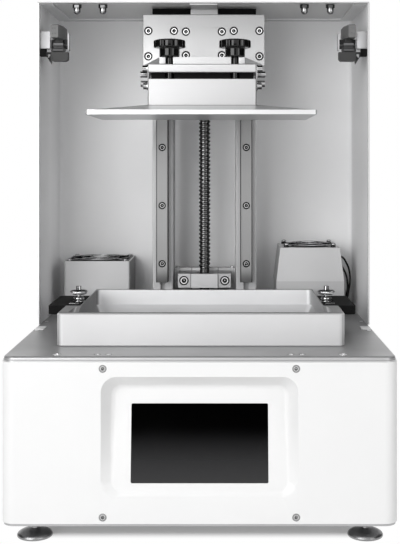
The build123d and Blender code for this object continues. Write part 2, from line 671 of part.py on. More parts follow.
def power_supply():
    """The mains power supply in its vented case, with a terminal strip at the back."""
    top = SHELL_BOTTOM + SUPPLY_HEIGHT
    middle = facing_up(sum(SUPPLY_X) / 2, sum(SUPPLY_DEPTHS) / 2, top)
    with BuildPart() as piece:
        slab(SUPPLY_X, SUPPLY_DEPTHS, (SHELL_BOTTOM, top))
        slab(SUPPLY_X, (SUPPLY_DEPTHS[1] - 16, SUPPLY_DEPTHS[1]), (SHELL_BOTTOM + 20, top), mode=Mode.SUBTRACT)
        slab(
            (SUPPLY_X[0] + 8, SUPPLY_X[1] - 8), (SUPPLY_DEPTHS[1] - 14, SUPPLY_DEPTHS[1] - 2),
            (SHELL_BOTTOM + 20, SHELL_BOTTOM + 34),
        )
        with Locations(middle):
            with GridLocations(12, 0, 6, 1):
                Box(5, 90, 1.5, align=CENTRED_DOWN, mode=Mode.SUBTRACT)
    keep(piece, "power_supply")


SWITCH_HEIGHT = INLET_HEIGHT + 12.0
SWITCH_WIDTH = 18.0
SWITCH_TALL = 12.0
SWITCH_PIVOT_DEPTH = BASE_DEPTH - 7.0
PLUG_HEIGHT = INLET_HEIGHT - 9.0
INLET_LENGTH = 28.0
INLET_FLANGE = 4.0


def power_inlet():
    """The mains inlet and switch housing, mounted from inside so that its face is flush with the back."""
    half = INLET_WIDTH / 2
    low = INLET_HEIGHT - INLET_TALL / 2
    high = INLET_HEIGHT + INLET_TALL / 2
    with BuildPart() as piece:
        slab((INLET_X - half, INLET_X + half), (BASE_DEPTH - INLET_LENGTH, BASE_DEPTH), (low, high))
        slab(
            (INLET_X - half - INLET_FLANGE, INLET_X + half + INLET_FLANGE),
            (BASE_DEPTH - BASE_WALL - 2, BASE_DEPTH - BASE_WALL),
            (low - INLET_FLANGE, high + INLET_FLANGE),
        )
        slab((INLET_X - 12, INLET_X + 12), (BASE_DEPTH - 18, BASE_DEPTH), (PLUG_HEIGHT - 8, PLUG_HEIGHT + 8),
             mode=Mode.SUBTRACT)
        tongue = (PLUG_HEIGHT - 5.5, PLUG_HEIGHT + 5.5)
        slab((INLET_X - 9.5, INLET_X + 9.5), (BASE_DEPTH - 18, BASE_DEPTH - 3), tongue)
        for x, lift in ((-6.5, -1.5), (0, 1.5), (6.5, -1.5)):
            slab((INLET_X + x - 1.2, INLET_X + x + 1.2), (BASE_DEPTH - 14, BASE_DEPTH - 3),
                 (PLUG_HEIGHT + lift - 2.2, PLUG_HEIGHT + lift + 2.2), mode=Mode.SUBTRACT)
        slab(
            (INLET_X - SWITCH_WIDTH / 2, INLET_X + SWITCH_WIDTH / 2),
            (BASE_DEPTH - 14, BASE_DEPTH),
            (SWITCH_HEIGHT - SWITCH_TALL / 2, SWITCH_HEIGHT + SWITCH_TALL / 2),
            mode=Mode.SUBTRACT,
        )
        with Locations(Plane(origin=(INLET_X, y_at(SWITCH_PIVOT_DEPTH), SWITCH_HEIGHT), z_dir=(1, 0, 0)).location):
            Cylinder(SPINDLE_RADIUS, SWITCH_WIDTH)
    keep(piece, "power_inlet")


def power_switch():
    """The rocker of the mains switch, on its pivot."""
    half = SWITCH_WIDTH / 2 - SLIDE_GAP
    reach = SWITCH_TALL / 2 - 1.0
    pivot = Plane(origin=(INLET_X - half, y_at(SWITCH_PIVOT_DEPTH), SWITCH_HEIGHT), x_dir=(0, 1, 0), z_dir=(1, 0, 0))
    with BuildPart() as piece:
        with BuildSketch(pivot):
            with BuildLine():
                Polyline((-3.5, -3), (5.6, -reach), (4.4, 0), (5.6, reach), (-3.5, 3), close=True)
            make_face()
            Circle(SPINDLE_RADIUS + RUN_GAP, mode=Mode.SUBTRACT)
        extrude(amount=2 * half)
    keep(piece, "power_switch")


MOTOR_SIZE = 57.0
MOTOR_HEIGHT = 76.0
MOTOR_DROP = 46.0
MOTOR_SHAFT_RADIUS = 4.0
MOTOR_SHAFT_LENGTH = 14.0
MOTOR_BOLT_SPACING = 47.1
MOTOR_TOP = SHELL_TOP - MOTOR_DROP
COUPLING_RADIUS = 12.5
COUPLING_BOTTOM = MOTOR_TOP + 5.0
COUPLING_TOP = SHELL_TOP - 8.0
SCREW_END_RADIUS = 5.0


def z_motor():
    """The stepper motor that turns the lift screw, hung from the deck frame on four pillars."""
    with BuildPart() as piece:
        with Locations(facing_up(0, SCREW_DEPTH, MOTOR_TOP)):
            Box(MOTOR_SIZE, MOTOR_SIZE, MOTOR_HEIGHT, align=CENTRED_DOWN)
        chamfer(piece.edges().filter_by(Axis.Z), 4)
        with Locations(facing_up(0, SCREW_DEPTH, MOTOR_TOP)):
            Cylinder(19, 1.6, align=CENTRED_UP)
            Cylinder(MOTOR_SHAFT_RADIUS, MOTOR_SHAFT_LENGTH, align=CENTRED_UP)
            with GridLocations(MOTOR_BOLT_SPACING, MOTOR_BOLT_SPACING, 2, 2):
                Cylinder(3.5, MOTOR_DROP, align=CENTRED_UP)
    keep(piece, "z_motor")


# ---- Tower --------------------------------------------------------------------------------------------------
CAP_NUT_X = (TOWER_INSIDE - 74.6, TOWER_INSIDE - 43.3)
CAP_NUT_DEPTH = TOWER_FRONT + 12.0
CAP_NUT_RADIUS = 5.4
CAP_NUT_HEX = 4.2
CAP_NUT_DOME = 4.1
CAP_NUT_LENGTH = 12.0
CAP_BOLT_RADIUS = 2.5
CAP_BOLT_HEAD = 5.0


def rear_corners(piece_edges):
    """The upright edges furthest back."""
    return piece_edges.filter_by(Axis.Z).group_by(Axis.Y)[-1]


def tower_hollow():
    """The space inside the tower's sheet, with the bend's inner radius."""
    inside = TOWER_BACK_INSIDE - TOWER_FRONT
    with BuildPart() as hollow:
        with Locations(facing_up(0, TOWER_FRONT + inside / 2, DECK)):
            Box(2 * TOWER_INSIDE, inside, TOWER_HEIGHT, align=CENTRED_UP)
        fillet(rear_corners(hollow.edges()), TOWER_BEND)
    return hollow.part


def tower_shell():
    """The bent sheet round the sides and back of the tower, with flanges under the top."""
    depth = TOWER_BACK - TOWER_FRONT
    middle = (TOWER_FRONT + TOWER_BACK) / 2
    hollow = tower_hollow()
    flange_end = TOWER_BACK - TOWER_WALL - TOWER_BEND
    flange_x = (TOWER_INSIDE - FLANGE_WIDTH, TOWER_INSIDE)
    with BuildPart() as piece:
        with Locations(facing_up(0, middle, DECK)):
            Box(TOWER_WIDTH, depth, TOWER_HEIGHT, align=CENTRED_UP)
        fillet(rear_corners(piece.edges()), TOWER_BEND + TOWER_WALL)
        add(hollow, mode=Mode.SUBTRACT)
        fillet(piece.edges().filter_by(Axis.Z).group_by(Axis.Y)[0], TOWER_WALL * 0.3)
        mirrored_slab(flange_x, (TOWER_FRONT, flange_end), (CEILING - FLANGE_THICKNESS, CEILING))
        slab(
            (-TOWER_INSIDE + TOWER_BEND, TOWER_INSIDE - TOWER_BEND),
            (TOWER_BACK_INSIDE - FLANGE_WIDTH, TOWER_BACK_INSIDE),
            (CEILING - FLANGE_THICKNESS, CEILING),
        )
    keep(piece, "tower_shell")


def cap_nut_places(z):
    """Where the cap nuts hang, at a given height."""
    return [facing_up(side * x, CAP_NUT_DEPTH, z) for x in CAP_NUT_X for side in (-1, 1)]


def top_panel():
    """The flat top of the tower."""
    middle = (TOWER_FRONT + TOWER_BACK) / 2
    with BuildPart() as piece:
        with Locations(facing_up(0, middle, CEILING)):
            Box(TOWER_WIDTH, TOWER_BACK - TOWER_FRONT, TOP_THICKNESS, align=CENTRED_UP)
        fillet(rear_corners(piece.edges()), TOWER_BEND + TOWER_WALL)
        fillet(piece.edges().group_by(Axis.Z)[-1], 1.0)
        with Locations(*cap_nut_places(CEILING + TOP_THICKNESS)):
            CounterSinkHole(CAP_BOLT_RADIUS + FIT_GAP, CAP_BOLT_HEAD + FIT_GAP, counter_sink_angle=90)
    keep(piece, "top_panel")


def cap_nuts():
    """Cap nuts under the top, each on its countersunk bolt."""
    hex_bottom = CEILING - CAP_NUT_HEX
    dome_centre = CEILING - CAP_NUT_LENGTH + CAP_NUT_DOME
    head = CAP_BOLT_HEAD - CAP_BOLT_RADIUS
    with BuildPart() as piece:
        with BuildSketch(Plane.XY.offset(hex_bottom)) as outline:
            with Locations(*[(place.position.X, place.position.Y) for place in cap_nut_places(0)]):
                RegularPolygon(CAP_NUT_RADIUS, 6)
        extrude(outline.sketch, amount=CAP_NUT_HEX)
        with Locations(*cap_nut_places(dome_centre)):
            Sphere(CAP_NUT_DOME)
            Cylinder(CAP_NUT_DOME, CEILING - dome_centre, align=CENTRED_UP)
        with Locations(*cap_nut_places(CEILING)):
            Cylinder(CAP_BOLT_RADIUS, TOP_THICKNESS, align=CENTRED_UP)
        with Locations(*cap_nut_places(CEILING + TOP_THICKNESS)):
            Cone(CAP_BOLT_RADIUS, CAP_BOLT_HEAD, head, align=CENTRED_DOWN)
    keep(piece, "cap_nuts")


# ---- Lid hinges ---------------------------------------------------------------------------------------------
BRACKET_HEIGHTS = (HINGE_PIVOT_HEIGHT + 2.4, HINGE_PIVOT_HEIGHT + 22.8)
BRACKET_FRONT = TOWER_FRONT + 3.0
BRACKET_BACK = TOWER_FRONT + 15.0
BRACKET_REACH = TOWER_INSIDE - 11.9
INNER_FLANGE_X = TOWER_INSIDE - 34.7
DAMPER_X = (TOWER_INSIDE - 23.3, TOWER_INSIDE - 14.2)
DAMPER_WIDENING = 4.3
DAMPER_FRONT = HINGE_PIVOT_DEPTH - 8.0
DAMPER_WAIST = HINGE_PIVOT_DEPTH + 15.0
DAMPER_BACK = HINGE_PIVOT_DEPTH + 36.5
DAMPER_HEIGHTS = (HINGE_PIVOT_HEIGHT + 14.4, HINGE_PIVOT_HEIGHT + 30.5)
ARM_X = (TOWER_INSIDE - 28.1, TOWER_INSIDE - 16.4)
ARM_STEPS = ((-1.7, 1.2, -1.6), (1.2, 5.0, 1.5), (5.0, 8.4, -1.0))
EAR_RADIUS = 3.0
EAR_THICKNESS = 2.0
KNUCKLE_RADIUS = 2.4
HINGE_PIN_RADIUS = 1.25
CUP_X = (TOWER_INSIDE - 34.3, TOWER_INSIDE - 13.6)
CUP_HEIGHTS = (HINGE_PIVOT_HEIGHT - 13.4, HINGE_PIVOT_HEIGHT - 2.7)
CUP_DEPTHS = (HINGE_PIVOT_DEPTH - 6.0, HINGE_PIVOT_DEPTH + 7.0)
CUP_CORNER = 3.6
WING_REACH = 5.5
WING_LIP = 1.2


def span(side, near, far):
    """The x range from near to far from the middle, on one side."""
    return (near, far) if side > 0 else (-far, -near)


def hinge_axis_plane(x):
    """A plane across the hinge axis at x, with its own X to the back and Y up."""
    return Plane(
        origin=(x, y_at(HINGE_PIVOT_DEPTH), HINGE_PIVOT_HEIGHT), x_dir=(0, 1, 0), z_dir=(1, 0, 0)
    )


def hinge_bracket(side, hand):
    """The fixed half of a lid hinge: a folded bracket on the tower wall and the stepped arm with the hinge pin."""
    low, high = BRACKET_HEIGHTS
    back = (BRACKET_BACK - FLANGE_THICKNESS, BRACKET_BACK)
    neck_bottom = HINGE_PIVOT_HEIGHT + ARM_STEPS[-1][1]
    arm = span(side, *ARM_X)
    with BuildPart() as piece:
        slab(span(side, BRACKET_REACH, TOWER_INSIDE), (BRACKET_FRONT, BRACKET_FRONT + FLANGE_THICKNESS), (low, high))
        slab(span(side, TOWER_INSIDE - FLANGE_THICKNESS, TOWER_INSIDE), (BRACKET_FRONT, BRACKET_BACK), (low, high))
        slab(span(side, INNER_FLANGE_X, TOWER_INSIDE), back, (low, DAMPER_HEIGHTS[0] - FIT_GAP))
        slab(
            span(side, INNER_FLANGE_X, INNER_FLANGE_X + FLANGE_THICKNESS),
            (BRACKET_FRONT, BRACKET_BACK), (low - 2, high - 2.4),
        )
        for bottom, top, setback in ARM_STEPS:
            slab(arm, (HINGE_PIVOT_DEPTH + setback, back[0]), (HINGE_PIVOT_HEIGHT + bottom, HINGE_PIVOT_HEIGHT + top))
        slab((arm[0] + 1.5, arm[1] - 1.5), (HINGE_PIVOT_DEPTH + 6, back[0]), (neck_bottom, DAMPER_HEIGHTS[0]))
        with BuildSketch(hinge_axis_plane(arm[0])) as knuckle:
            Circle(KNUCKLE_RADIUS)
        extrude(knuckle.sketch, amount=arm[1] - arm[0])
        with BuildSketch(hinge_axis_plane(arm[0] - EAR_THICKNESS - 1)) as pin:
            Circle(HINGE_PIN_RADIUS)
        extrude(pin.sketch, amount=arm[1] - arm[0] + 2 * EAR_THICKNESS + 2)
    keep(piece, f"hinge_bracket_{hand}")


def hinge_cup(side, hand):
    """The moving half of a lid hinge: the cup that the lid is screwed to, with ears round the hinge pin."""
    arm = span(side, *ARM_X)
    cup = span(side, *CUP_X)
    outer = CUP_X[1] + WING_REACH
    wing_depths = (CUP_DEPTHS[0] + 2, CUP_DEPTHS[1] - 2)
    lug_height = HINGE_PIVOT_HEIGHT - CUP_HEIGHTS[1]
    with BuildPart() as piece:
        slab(cup, CUP_DEPTHS, CUP_HEIGHTS)
        fillet(piece.edges().filter_by(Axis.Y).group_by(Axis.Z)[0], CUP_CORNER)
        slab(span(side, CUP_X[1], outer), wing_depths, (CUP_HEIGHTS[1] - 1.5, CUP_HEIGHTS[1]))
        slab(span(side, outer - WING_LIP, outer), wing_depths, (CUP_HEIGHTS[1] - 5.5, CUP_HEIGHTS[1] - 1.5))
        for start in (arm[0] - SLIDE_GAP - EAR_THICKNESS, arm[1] + SLIDE_GAP):
            with BuildSketch(hinge_axis_plane(start)) as ear:
                Circle(EAR_RADIUS)
                with Locations((0, -lug_height / 2)):
                    Rectangle(2 * EAR_RADIUS, lug_height)
                Circle(HINGE_PIN_RADIUS + RUN_GAP, mode=Mode.SUBTRACT)
            extrude(ear.sketch, amount=EAR_THICKNESS)
        hook_x = side * (CUP_X[1] + 0.5)
        hook_top = CUP_HEIGHTS[0] + 4.0
        with BuildSketch(Plane.XZ.offset(-y_at(CUP_DEPTHS[0] + 1.5))) as hook:
            with BuildLine():
                Polyline(
                    (hook_x - side * 4, hook_top), (hook_x + side * 3, hook_top),
                    (hook_x - side * 2, CUP_HEIGHTS[0] - 4.2), close=True,
                )
            make_face()
        extrude(hook.sketch, amount=1.5)
        with Locations(facing_front(hook_x - side, CUP_DEPTHS[0], hook_top)):
            Cylinder(1.7, 1.2, align=CENTRED_UP)
    keep(piece, f"hinge_cup_{hand}")


def hinge_dampers():
    """The soft-close dampers clipped on the hinge arms, wider behind the waist on the inner side."""
    near, far = DAMPER_X
    wide = near - DAMPER_WIDENING
    with BuildPart() as piece:
        for side in (-1, 1):
            with BuildSketch(Plane.XY.offset(DAMPER_HEIGHTS[0])) as plan:
                with BuildLine():
                    Polyline(
                        (side * near, y_at(DAMPER_FRONT)), (side * far, y_at(DAMPER_FRONT)),
                        (side * far, y_at(DAMPER_BACK)), (side * wide, y_at(DAMPER_BACK)),
                        (side * wide, y_at(DAMPER_WAIST)), close=True,
                    )
                make_face()
            extrude(plan.sketch, amount=DAMPER_HEIGHTS[1] - DAMPER_HEIGHTS[0])
        chamfer(piece.edges().group_by(Axis.Z)[-1], 1.4)
        chamfer(piece.edges().group_by(Axis.Z)[0], 0.6)
        for side in (-1, 1):
            for x in (near + 3.2, near + 6.2):
                for z in (DAMPER_HEIGHTS[0] + 5.2, DAMPER_HEIGHTS[0] + 11.2):
                    slab((side * x - 0.7, side * x + 0.7), (DAMPER_FRONT, DAMPER_FRONT + 0.6), (z - 0.7, z + 0.7),
                         mode=Mode.SUBTRACT)
    keep(piece, "hinge_dampers")


# ---- Lift: columns, rails, beam, bearings and screw ---------------------------------------------------------
SLOT_MOUTH = 6.2
SLOT_LIP = 2.0
SLOT_POCKET = 11.0
SLOT_DEPTH = 6.4
COLUMN_CORE_RADIUS = 3.4


def slot_cut(x, depth, angle):
    """Cuts one T-slot into a column's section at a point on its outline, facing the way of the angle."""
    with Locations(Location((x, y_at(depth), 0), (0, 0, angle))):
        Rectangle(SLOT_MOUTH, 2 * SLOT_DEPTH - 2 * SLOT_LIP, mode=Mode.SUBTRACT)
        with Locations((0, SLOT_LIP + (SLOT_DEPTH - SLOT_LIP) / 2)):
            Rectangle(SLOT_POCKET, SLOT_DEPTH - SLOT_LIP, mode=Mode.SUBTRACT)


def columns():
    """The two aluminium profiles that carry the lift, with T-slots front, back and on the sides."""
    module = COLUMN_DEPTH / 2
    with BuildPart() as piece:
        with BuildSketch(Plane.XY.offset(DECK)):
            for x in (-COLUMN_X, COLUMN_X):
                with Locations((x, y_at(COLUMN_FRONT + module))):
                    RectangleRounded(COLUMN_WIDTH, COLUMN_DEPTH, 1.5)
                slot_cut(x, COLUMN_FRONT, 0)
                slot_cut(x, COLUMN_BACK, 180)
                for depth in (COLUMN_FRONT + module / 2, COLUMN_BACK - module / 2):
                    slot_cut(x - COLUMN_WIDTH / 2, depth, -90)
                    slot_cut(x + COLUMN_WIDTH / 2, depth, 90)
                    with Locations((x, y_at(depth))):
                        Circle(COLUMN_CORE_RADIUS * 0.6, mode=Mode.SUBTRACT)
        extrude(amount=COLUMN_TOP - DECK)
    keep(piece, "columns")


RAIL_SCREW_HEAD = 4.2
RAIL_SCREW_HEAD_HEIGHT = 4.0
RAIL_BORE_DEPTH = 4.6
RAIL_SCREW_SHANK = 2.0
RAIL_BOTTOM = DECK + RAIL_START
RAIL_LENGTH = COLUMN_TOP - RAIL_END - RAIL_BOTTOM
RAIL_GROOVE = 1.5
RAIL_SCREW_END = 10.0
RAIL_SCREW_COUNT = 1 + int((RAIL_LENGTH - RAIL_SCREW_START - RAIL_SCREW_END) / RAIL_SCREW_PITCH)


def rail_screw_heights():
    """The heights of the screws along a rail."""
    return [RAIL_BOTTOM + RAIL_SCREW_START + i * RAIL_SCREW_PITCH for i in range(RAIL_SCREW_COUNT)]


def rail_outline(x, grow):
    """The corners of a rail's section, larger by grow on the sides and front, with a groove down each side."""
    half = RAIL_WIDTH / 2 + grow
    waist = half - RAIL_GROOVE
    front = RAIL_FRONT - grow
    side = [
        (half, front), (half, front + 3), (waist, front + 4.5), (waist, front + 7.5),
        (half, front + 9), (half, COLUMN_FRONT + grow),
    ]
    return [(x + px, y_at(d)) for px, d in side] + [(x - px, y_at(d)) for px, d in reversed(side)]


def linear_rails():
    """The two guide rails on the front of the columns, counterbored for their screws."""
    places = [facing_front(side * COLUMN_X, RAIL_FRONT, z) for side in (-1, 1) for z in rail_screw_heights()]
    with BuildPart() as piece:
        for x in (-COLUMN_X, COLUMN_X):
            with BuildSketch(Plane.XY.offset(RAIL_BOTTOM)) as section:
                with BuildLine():
                    Polyline(*rail_outline(x, 0), close=True)
                make_face()
            extrude(section.sketch, amount=RAIL_LENGTH)
        with Locations(*places):
            CounterBoreHole(
                RAIL_SCREW_SHANK + FIT_GAP, RAIL_SCREW_HEAD + 2 * FIT_GAP, RAIL_BORE_DEPTH, depth=RAIL_DEPTH
            )
    keep(piece, "linear_rails")


BEAM_FRONT = RAIL_FRONT - 1.0
BEAM_WIDTH = COLUMN_SPACING + COLUMN_WIDTH - 1.6
BEARING_WIDTH = 34.0
BEARING_DEPTHS = (BEAM_FRONT, SCREW_DEPTH + 21.0)
BEARING_BOTTOM = CEILING - 19.5
BEARING_TOP = CEILING - 4.5
TONGUE_FRONT = TOWER_FRONT + 3.0


def top_beam():
    """The black beam that ties the columns to the top of the tower, notched for the upper bearing."""
    with BuildPart() as piece:
        slab((-BEAM_WIDTH / 2, BEAM_WIDTH / 2), (BEAM_FRONT, COLUMN_BACK), (COLUMN_TOP, CEILING))
        slab((-BEARING_WIDTH / 2, BEARING_WIDTH / 2), BEARING_DEPTHS, (COLUMN_TOP, BEARING_TOP), mode=Mode.SUBTRACT)
    keep(piece, "top_beam")


def upper_bearing():
    """The bearing block that holds the top end of the screw, with its tongue under the top panel."""
    half = BEARING_WIDTH / 2
    with BuildPart() as piece:
        slab((-half, half), BEARING_DEPTHS, (BEARING_BOTTOM, BEARING_TOP))
        slab((-half, half), (TONGUE_FRONT, BEAM_FRONT), (CEILING - 1.5, CEILING))
        slab((-half, half), (BEAM_FRONT - 1.5, BEAM_FRONT), (BEARING_BOTTOM + 4, CEILING))
        with Locations(facing_up(0, SCREW_DEPTH, BEARING_BOTTOM)):
            Cylinder(SCREW_END_RADIUS + RUN_GAP, BEARING_TOP - BEARING_BOTTOM - 2, align=CENTRED_UP,
                     mode=Mode.SUBTRACT)
    keep(piece, "upper_bearing")


LOWER_BLOCK_FRONT = SCREW_DEPTH - 21.0
LOWER_BLOCK_BACK = SCREW_DEPTH + 25.0
LOWER_BLOCK_HEIGHTS = (DECK + 37.9, DECK + 55.2)
LOWER_EAR_X = 33.0
LOWER_EAR_SETBACK = 3.0
MOUNT_PLATE_X = COLUMN_X - COLUMN_WIDTH / 2 - 1.0
MOUNT_PLATE_BACK = LOWER_BLOCK_BACK + 12.0
MOUNT_PLATE_RISE = 3.4
MOUNT_SCREW_X = MOUNT_PLATE_X - 3.2
MOUNT_SCREW_HEAD = 2.6
BEARING_SCREW_X = 25.6
BEARING_SCREW_HEAD = 5.6
BEARING_SCREW_SHANK = 3.0
JOURNAL_RADIUS = 6.0


def lower_bearing():
    """The fixed bearing of the screw: a block with two ears, on a plate between the columns."""
    half = BEARING_WIDTH / 2
    places = [
        facing_front(side * BEARING_SCREW_X, LOWER_BLOCK_FRONT + LOWER_EAR_SETBACK, sum(LOWER_BLOCK_HEIGHTS) / 2)
        for side in (-1, 1)
    ]
    with BuildPart() as piece:
        slab(
            (-LOWER_EAR_X, LOWER_EAR_X), (LOWER_BLOCK_FRONT + LOWER_EAR_SETBACK, LOWER_BLOCK_BACK),
            LOWER_BLOCK_HEIGHTS,
        )
        slab((-half, half), (LOWER_BLOCK_FRONT, LOWER_BLOCK_BACK), LOWER_BLOCK_HEIGHTS)
        with Locations(*places):
            CounterBoreHole(BEARING_SCREW_SHANK + FIT_GAP, BEARING_SCREW_HEAD + 2 * FIT_GAP, 6.5, depth=30)
        with Locations(facing_up(0, SCREW_DEPTH, LOWER_BLOCK_HEIGHTS[1])):
            Hole(JOURNAL_RADIUS + RUN_GAP)
            Cylinder(11, 0.8, align=CENTRED_DOWN, mode=Mode.SUBTRACT)
        slab(
            (-MOUNT_PLATE_X, MOUNT_PLATE_X), (LOWER_BLOCK_BACK, MOUNT_PLATE_BACK),
            (DECK, LOWER_BLOCK_HEIGHTS[1] + MOUNT_PLATE_RISE),
        )
        mount_top = LOWER_BLOCK_HEIGHTS[1] + MOUNT_PLATE_RISE
        for side in (-1, 1):
            with Locations(facing_up(side * MOUNT_SCREW_X, LOWER_BLOCK_BACK + 6, mount_top)):
                Cylinder(MOUNT_SCREW_HEAD, 1.6, align=CENTRED_UP)
    keep(piece, "lower_bearing")


def screw_places():
    """Head seats of the screws that stay with the frame: rails, lower bearing and casing."""
    rail_seat = RAIL_FRONT + RAIL_BORE_DEPTH
    rails = [facing_front(side * COLUMN_X, rail_seat, z) for side in (-1, 1) for z in rail_screw_heights()]
    bearing = [
        facing_front(side * BEARING_SCREW_X, LOWER_BLOCK_FRONT + LOWER_EAR_SETBACK + 6.5, sum(LOWER_BLOCK_HEIGHTS) / 2)
        for side in (-1, 1)
    ]
    return rails, bearing


def frame_screws():
    """All screws that stay with the frame."""
    rails, bearing = screw_places()
    with BuildPart() as piece:
        socket_screws(rails, RAIL_SCREW_HEAD, RAIL_SCREW_HEAD_HEIGHT, RAIL_SCREW_SHANK, RAIL_DEPTH, 1.7)
        socket_screws(bearing, BEARING_SCREW_HEAD, 5.5, BEARING_SCREW_SHANK, 20, 2.6)
        socket_screws(CASE_SCREWS, CASE_SCREW_HEAD, CASE_SCREW_HEAD_HEIGHT, CASE_SCREW_SHANK, CASE_SCREW_LENGTH, 1.5)
        for places, head, angle in (
            (deck_screw_places(small=False), DECK_BIG_HEAD, 120),
            (deck_screw_places(big=False), DECK_SMALL_HEAD, 90),
        ):
            taper = (head - DECK_SCREW_SHANK) / math.tan(math.radians(angle / 2))
            with Locations(*places):
                Cone(DECK_SCREW_SHANK, head - FIT_GAP, taper, align=CENTRED_DOWN)
                Cylinder(DECK_SCREW_SHANK, DECK_SCREW_LENGTH, align=CENTRED_DOWN)
                Cylinder(1.4, 1.2, align=CENTRED_DOWN, mode=Mode.SUBTRACT)
    keep(piece, "frame_screws")


def ball_screw():
    """The lift screw with its turned ends. The thread's crest is its outside."""
    thread_bottom = LOWER_BLOCK_HEIGHTS[1] + 0.4
    thread_top = BEARING_BOTTOM - 0.6
    with BuildPart() as piece:
        with Locations(facing_up(0, SCREW_DEPTH, thread_bottom)):
            Cylinder(SCREW_RADIUS, thread_top - thread_bottom, align=CENTRED_UP)
            Cylinder(JOURNAL_RADIUS, thread_bottom - COUPLING_TOP - 2, align=CENTRED_DOWN)
        with Locations(facing_up(0, SCREW_DEPTH, COUPLING_BOTTOM + 10)):
            Cylinder(SCREW_END_RADIUS, COUPLING_TOP - COUPLING_BOTTOM - 8, align=CENTRED_UP)
        with Locations(facing_up(0, SCREW_DEPTH, thread_top)):
            Cylinder(SCREW_END_RADIUS, BEARING_TOP - 3 - thread_top, align=CENTRED_UP)
    keep(piece, "ball_screw")


def shaft_coupling():
    """The slit coupling between the motor's shaft and the screw."""
    tall = COUPLING_TOP - COUPLING_BOTTOM
    middle = COUPLING_BOTTOM + tall / 2
    with BuildPart() as piece:
        with Locations(facing_up(0, SCREW_DEPTH, COUPLING_BOTTOM)):
            Cylinder(COUPLING_RADIUS, tall, align=CENTRED_UP)
        with Locations(facing_up(0, SCREW_DEPTH, COUPLING_BOTTOM + 10)):
            Cylinder(SCREW_END_RADIUS, tall, align=CENTRED_UP, mode=Mode.SUBTRACT)
            Cylinder(MOTOR_SHAFT_RADIUS + RUN_GAP, 10, align=CENTRED_DOWN, mode=Mode.SUBTRACT)
        for i in range(3):
            side = 1 if i % 2 else -1
            slab(
                (side * 4 - COUPLING_RADIUS, side * 4 + COUPLING_RADIUS),
                (SCREW_DEPTH - COUPLING_RADIUS, SCREW_DEPTH + COUPLING_RADIUS),
                (middle + (i - 1) * 4 - 0.6, middle + (i - 1) * 4 + 0.6),
                mode=Mode.SUBTRACT,
            )
    keep(piece, "shaft_coupling")


# ---- Carriage -----------------------------------------------------------------------------------------------
GUIDE_BOTTOM = CARRIAGE_BOTTOM + 6.0
GUIDE_FLANGE = 7.5
GUIDE_BODY_WIDTH = 34.0
GUIDE_BACK = COLUMN_FRONT - 4.3
GUIDE_SCREW_X = (COLUMN_X - 15.8, COLUMN_X + 15.6)
GUIDE_SCREW_HEIGHTS = (20.2, 51.4)
NUT_SCREW_X = 22.0
NUT_SCREW_HEIGHTS = (21.6, 50.4)
CARRIAGE_SCREW_HEAD = 4.2
CARRIAGE_BORE = 5.15
CARRIAGE_BORE_DEPTH = 5.0
CARRIAGE_SHANK = 2.4
HOUSING_X = 28.0
HOUSING_HEIGHTS = (CARRIAGE_BOTTOM + 15.0, CARRIAGE_TOP - 14.5)
HOUSING_DEPTH = 13.4
NUT_FLANGE_RADIUS = 22.0
NUT_BODY_RADIUS = 14.0


def carriage_screw_places(depth):
    """The carriage's screws at a depth: eight into the guide blocks and four into the nut housing."""
    guide = both_sides(GUIDE_SCREW_X, [(h,) for h in GUIDE_SCREW_HEIGHTS])
    nut = both_sides((NUT_SCREW_X,), [(h,) for h in NUT_SCREW_HEIGHTS])
    return [facing_front(x, depth, CARRIAGE_BOTTOM + h) for x, h in guide + nut]


def carriage_plate():
    """The machined plate that joins the guide blocks, the nut and the arm."""
    half = CARRIAGE_WIDTH / 2
    with BuildPart() as piece:
        slab((-half, half), (CARRIAGE_FRONT, CARRIAGE_BACK), (CARRIAGE_BOTTOM, CARRIAGE_TOP))
        chamfer(piece.edges().group_by(Axis.Y)[0], 0.6)
        with Locations(*carriage_screw_places(CARRIAGE_FRONT)):
            CounterBoreHole(CARRIAGE_SHANK + FIT_GAP, CARRIAGE_BORE, CARRIAGE_BORE_DEPTH, depth=CARRIAGE_THICKNESS)
    keep(piece, "carriage_plate")


def carriage_screws():
    """The twelve screws in the carriage plate."""
    with BuildPart() as piece:
        socket_screws(
            carriage_screw_places(CARRIAGE_FRONT + CARRIAGE_BORE_DEPTH),
            CARRIAGE_SCREW_HEAD, 4.2, CARRIAGE_SHANK, CARRIAGE_THICKNESS, 2.0,
        )
    keep(piece, "carriage_screws")


def guide_blocks():
    """The two ball guide blocks: a flange on a body that wraps the rail."""
    wide = GUIDE_WIDTH / 2
    body = GUIDE_BODY_WIDTH / 2
    with BuildPart() as piece:
        for x in (-COLUMN_X, COLUMN_X):
            slab((x - wide, x + wide), (CARRIAGE_BACK, CARRIAGE_BACK + GUIDE_FLANGE),
                 (GUIDE_BOTTOM + 6, GUIDE_BOTTOM + GUIDE_LENGTH - 6))
            slab((x - body, x + body), (CARRIAGE_BACK, GUIDE_BACK), (GUIDE_BOTTOM, GUIDE_BOTTOM + GUIDE_LENGTH))
            with BuildSketch(Plane.XY.offset(GUIDE_BOTTOM)) as channel:
                with BuildLine():
                    Polyline(*rail_outline(x, RUN_GAP), close=True)
                make_face()
            extrude(channel.sketch, amount=GUIDE_LENGTH, mode=Mode.SUBTRACT)
        with Locations(*carriage_screw_places(CARRIAGE_BACK)[:8]):
            Hole(CARRIAGE_SHANK + FIT_GAP, depth=7.4)
    keep(piece, "guide_blocks")


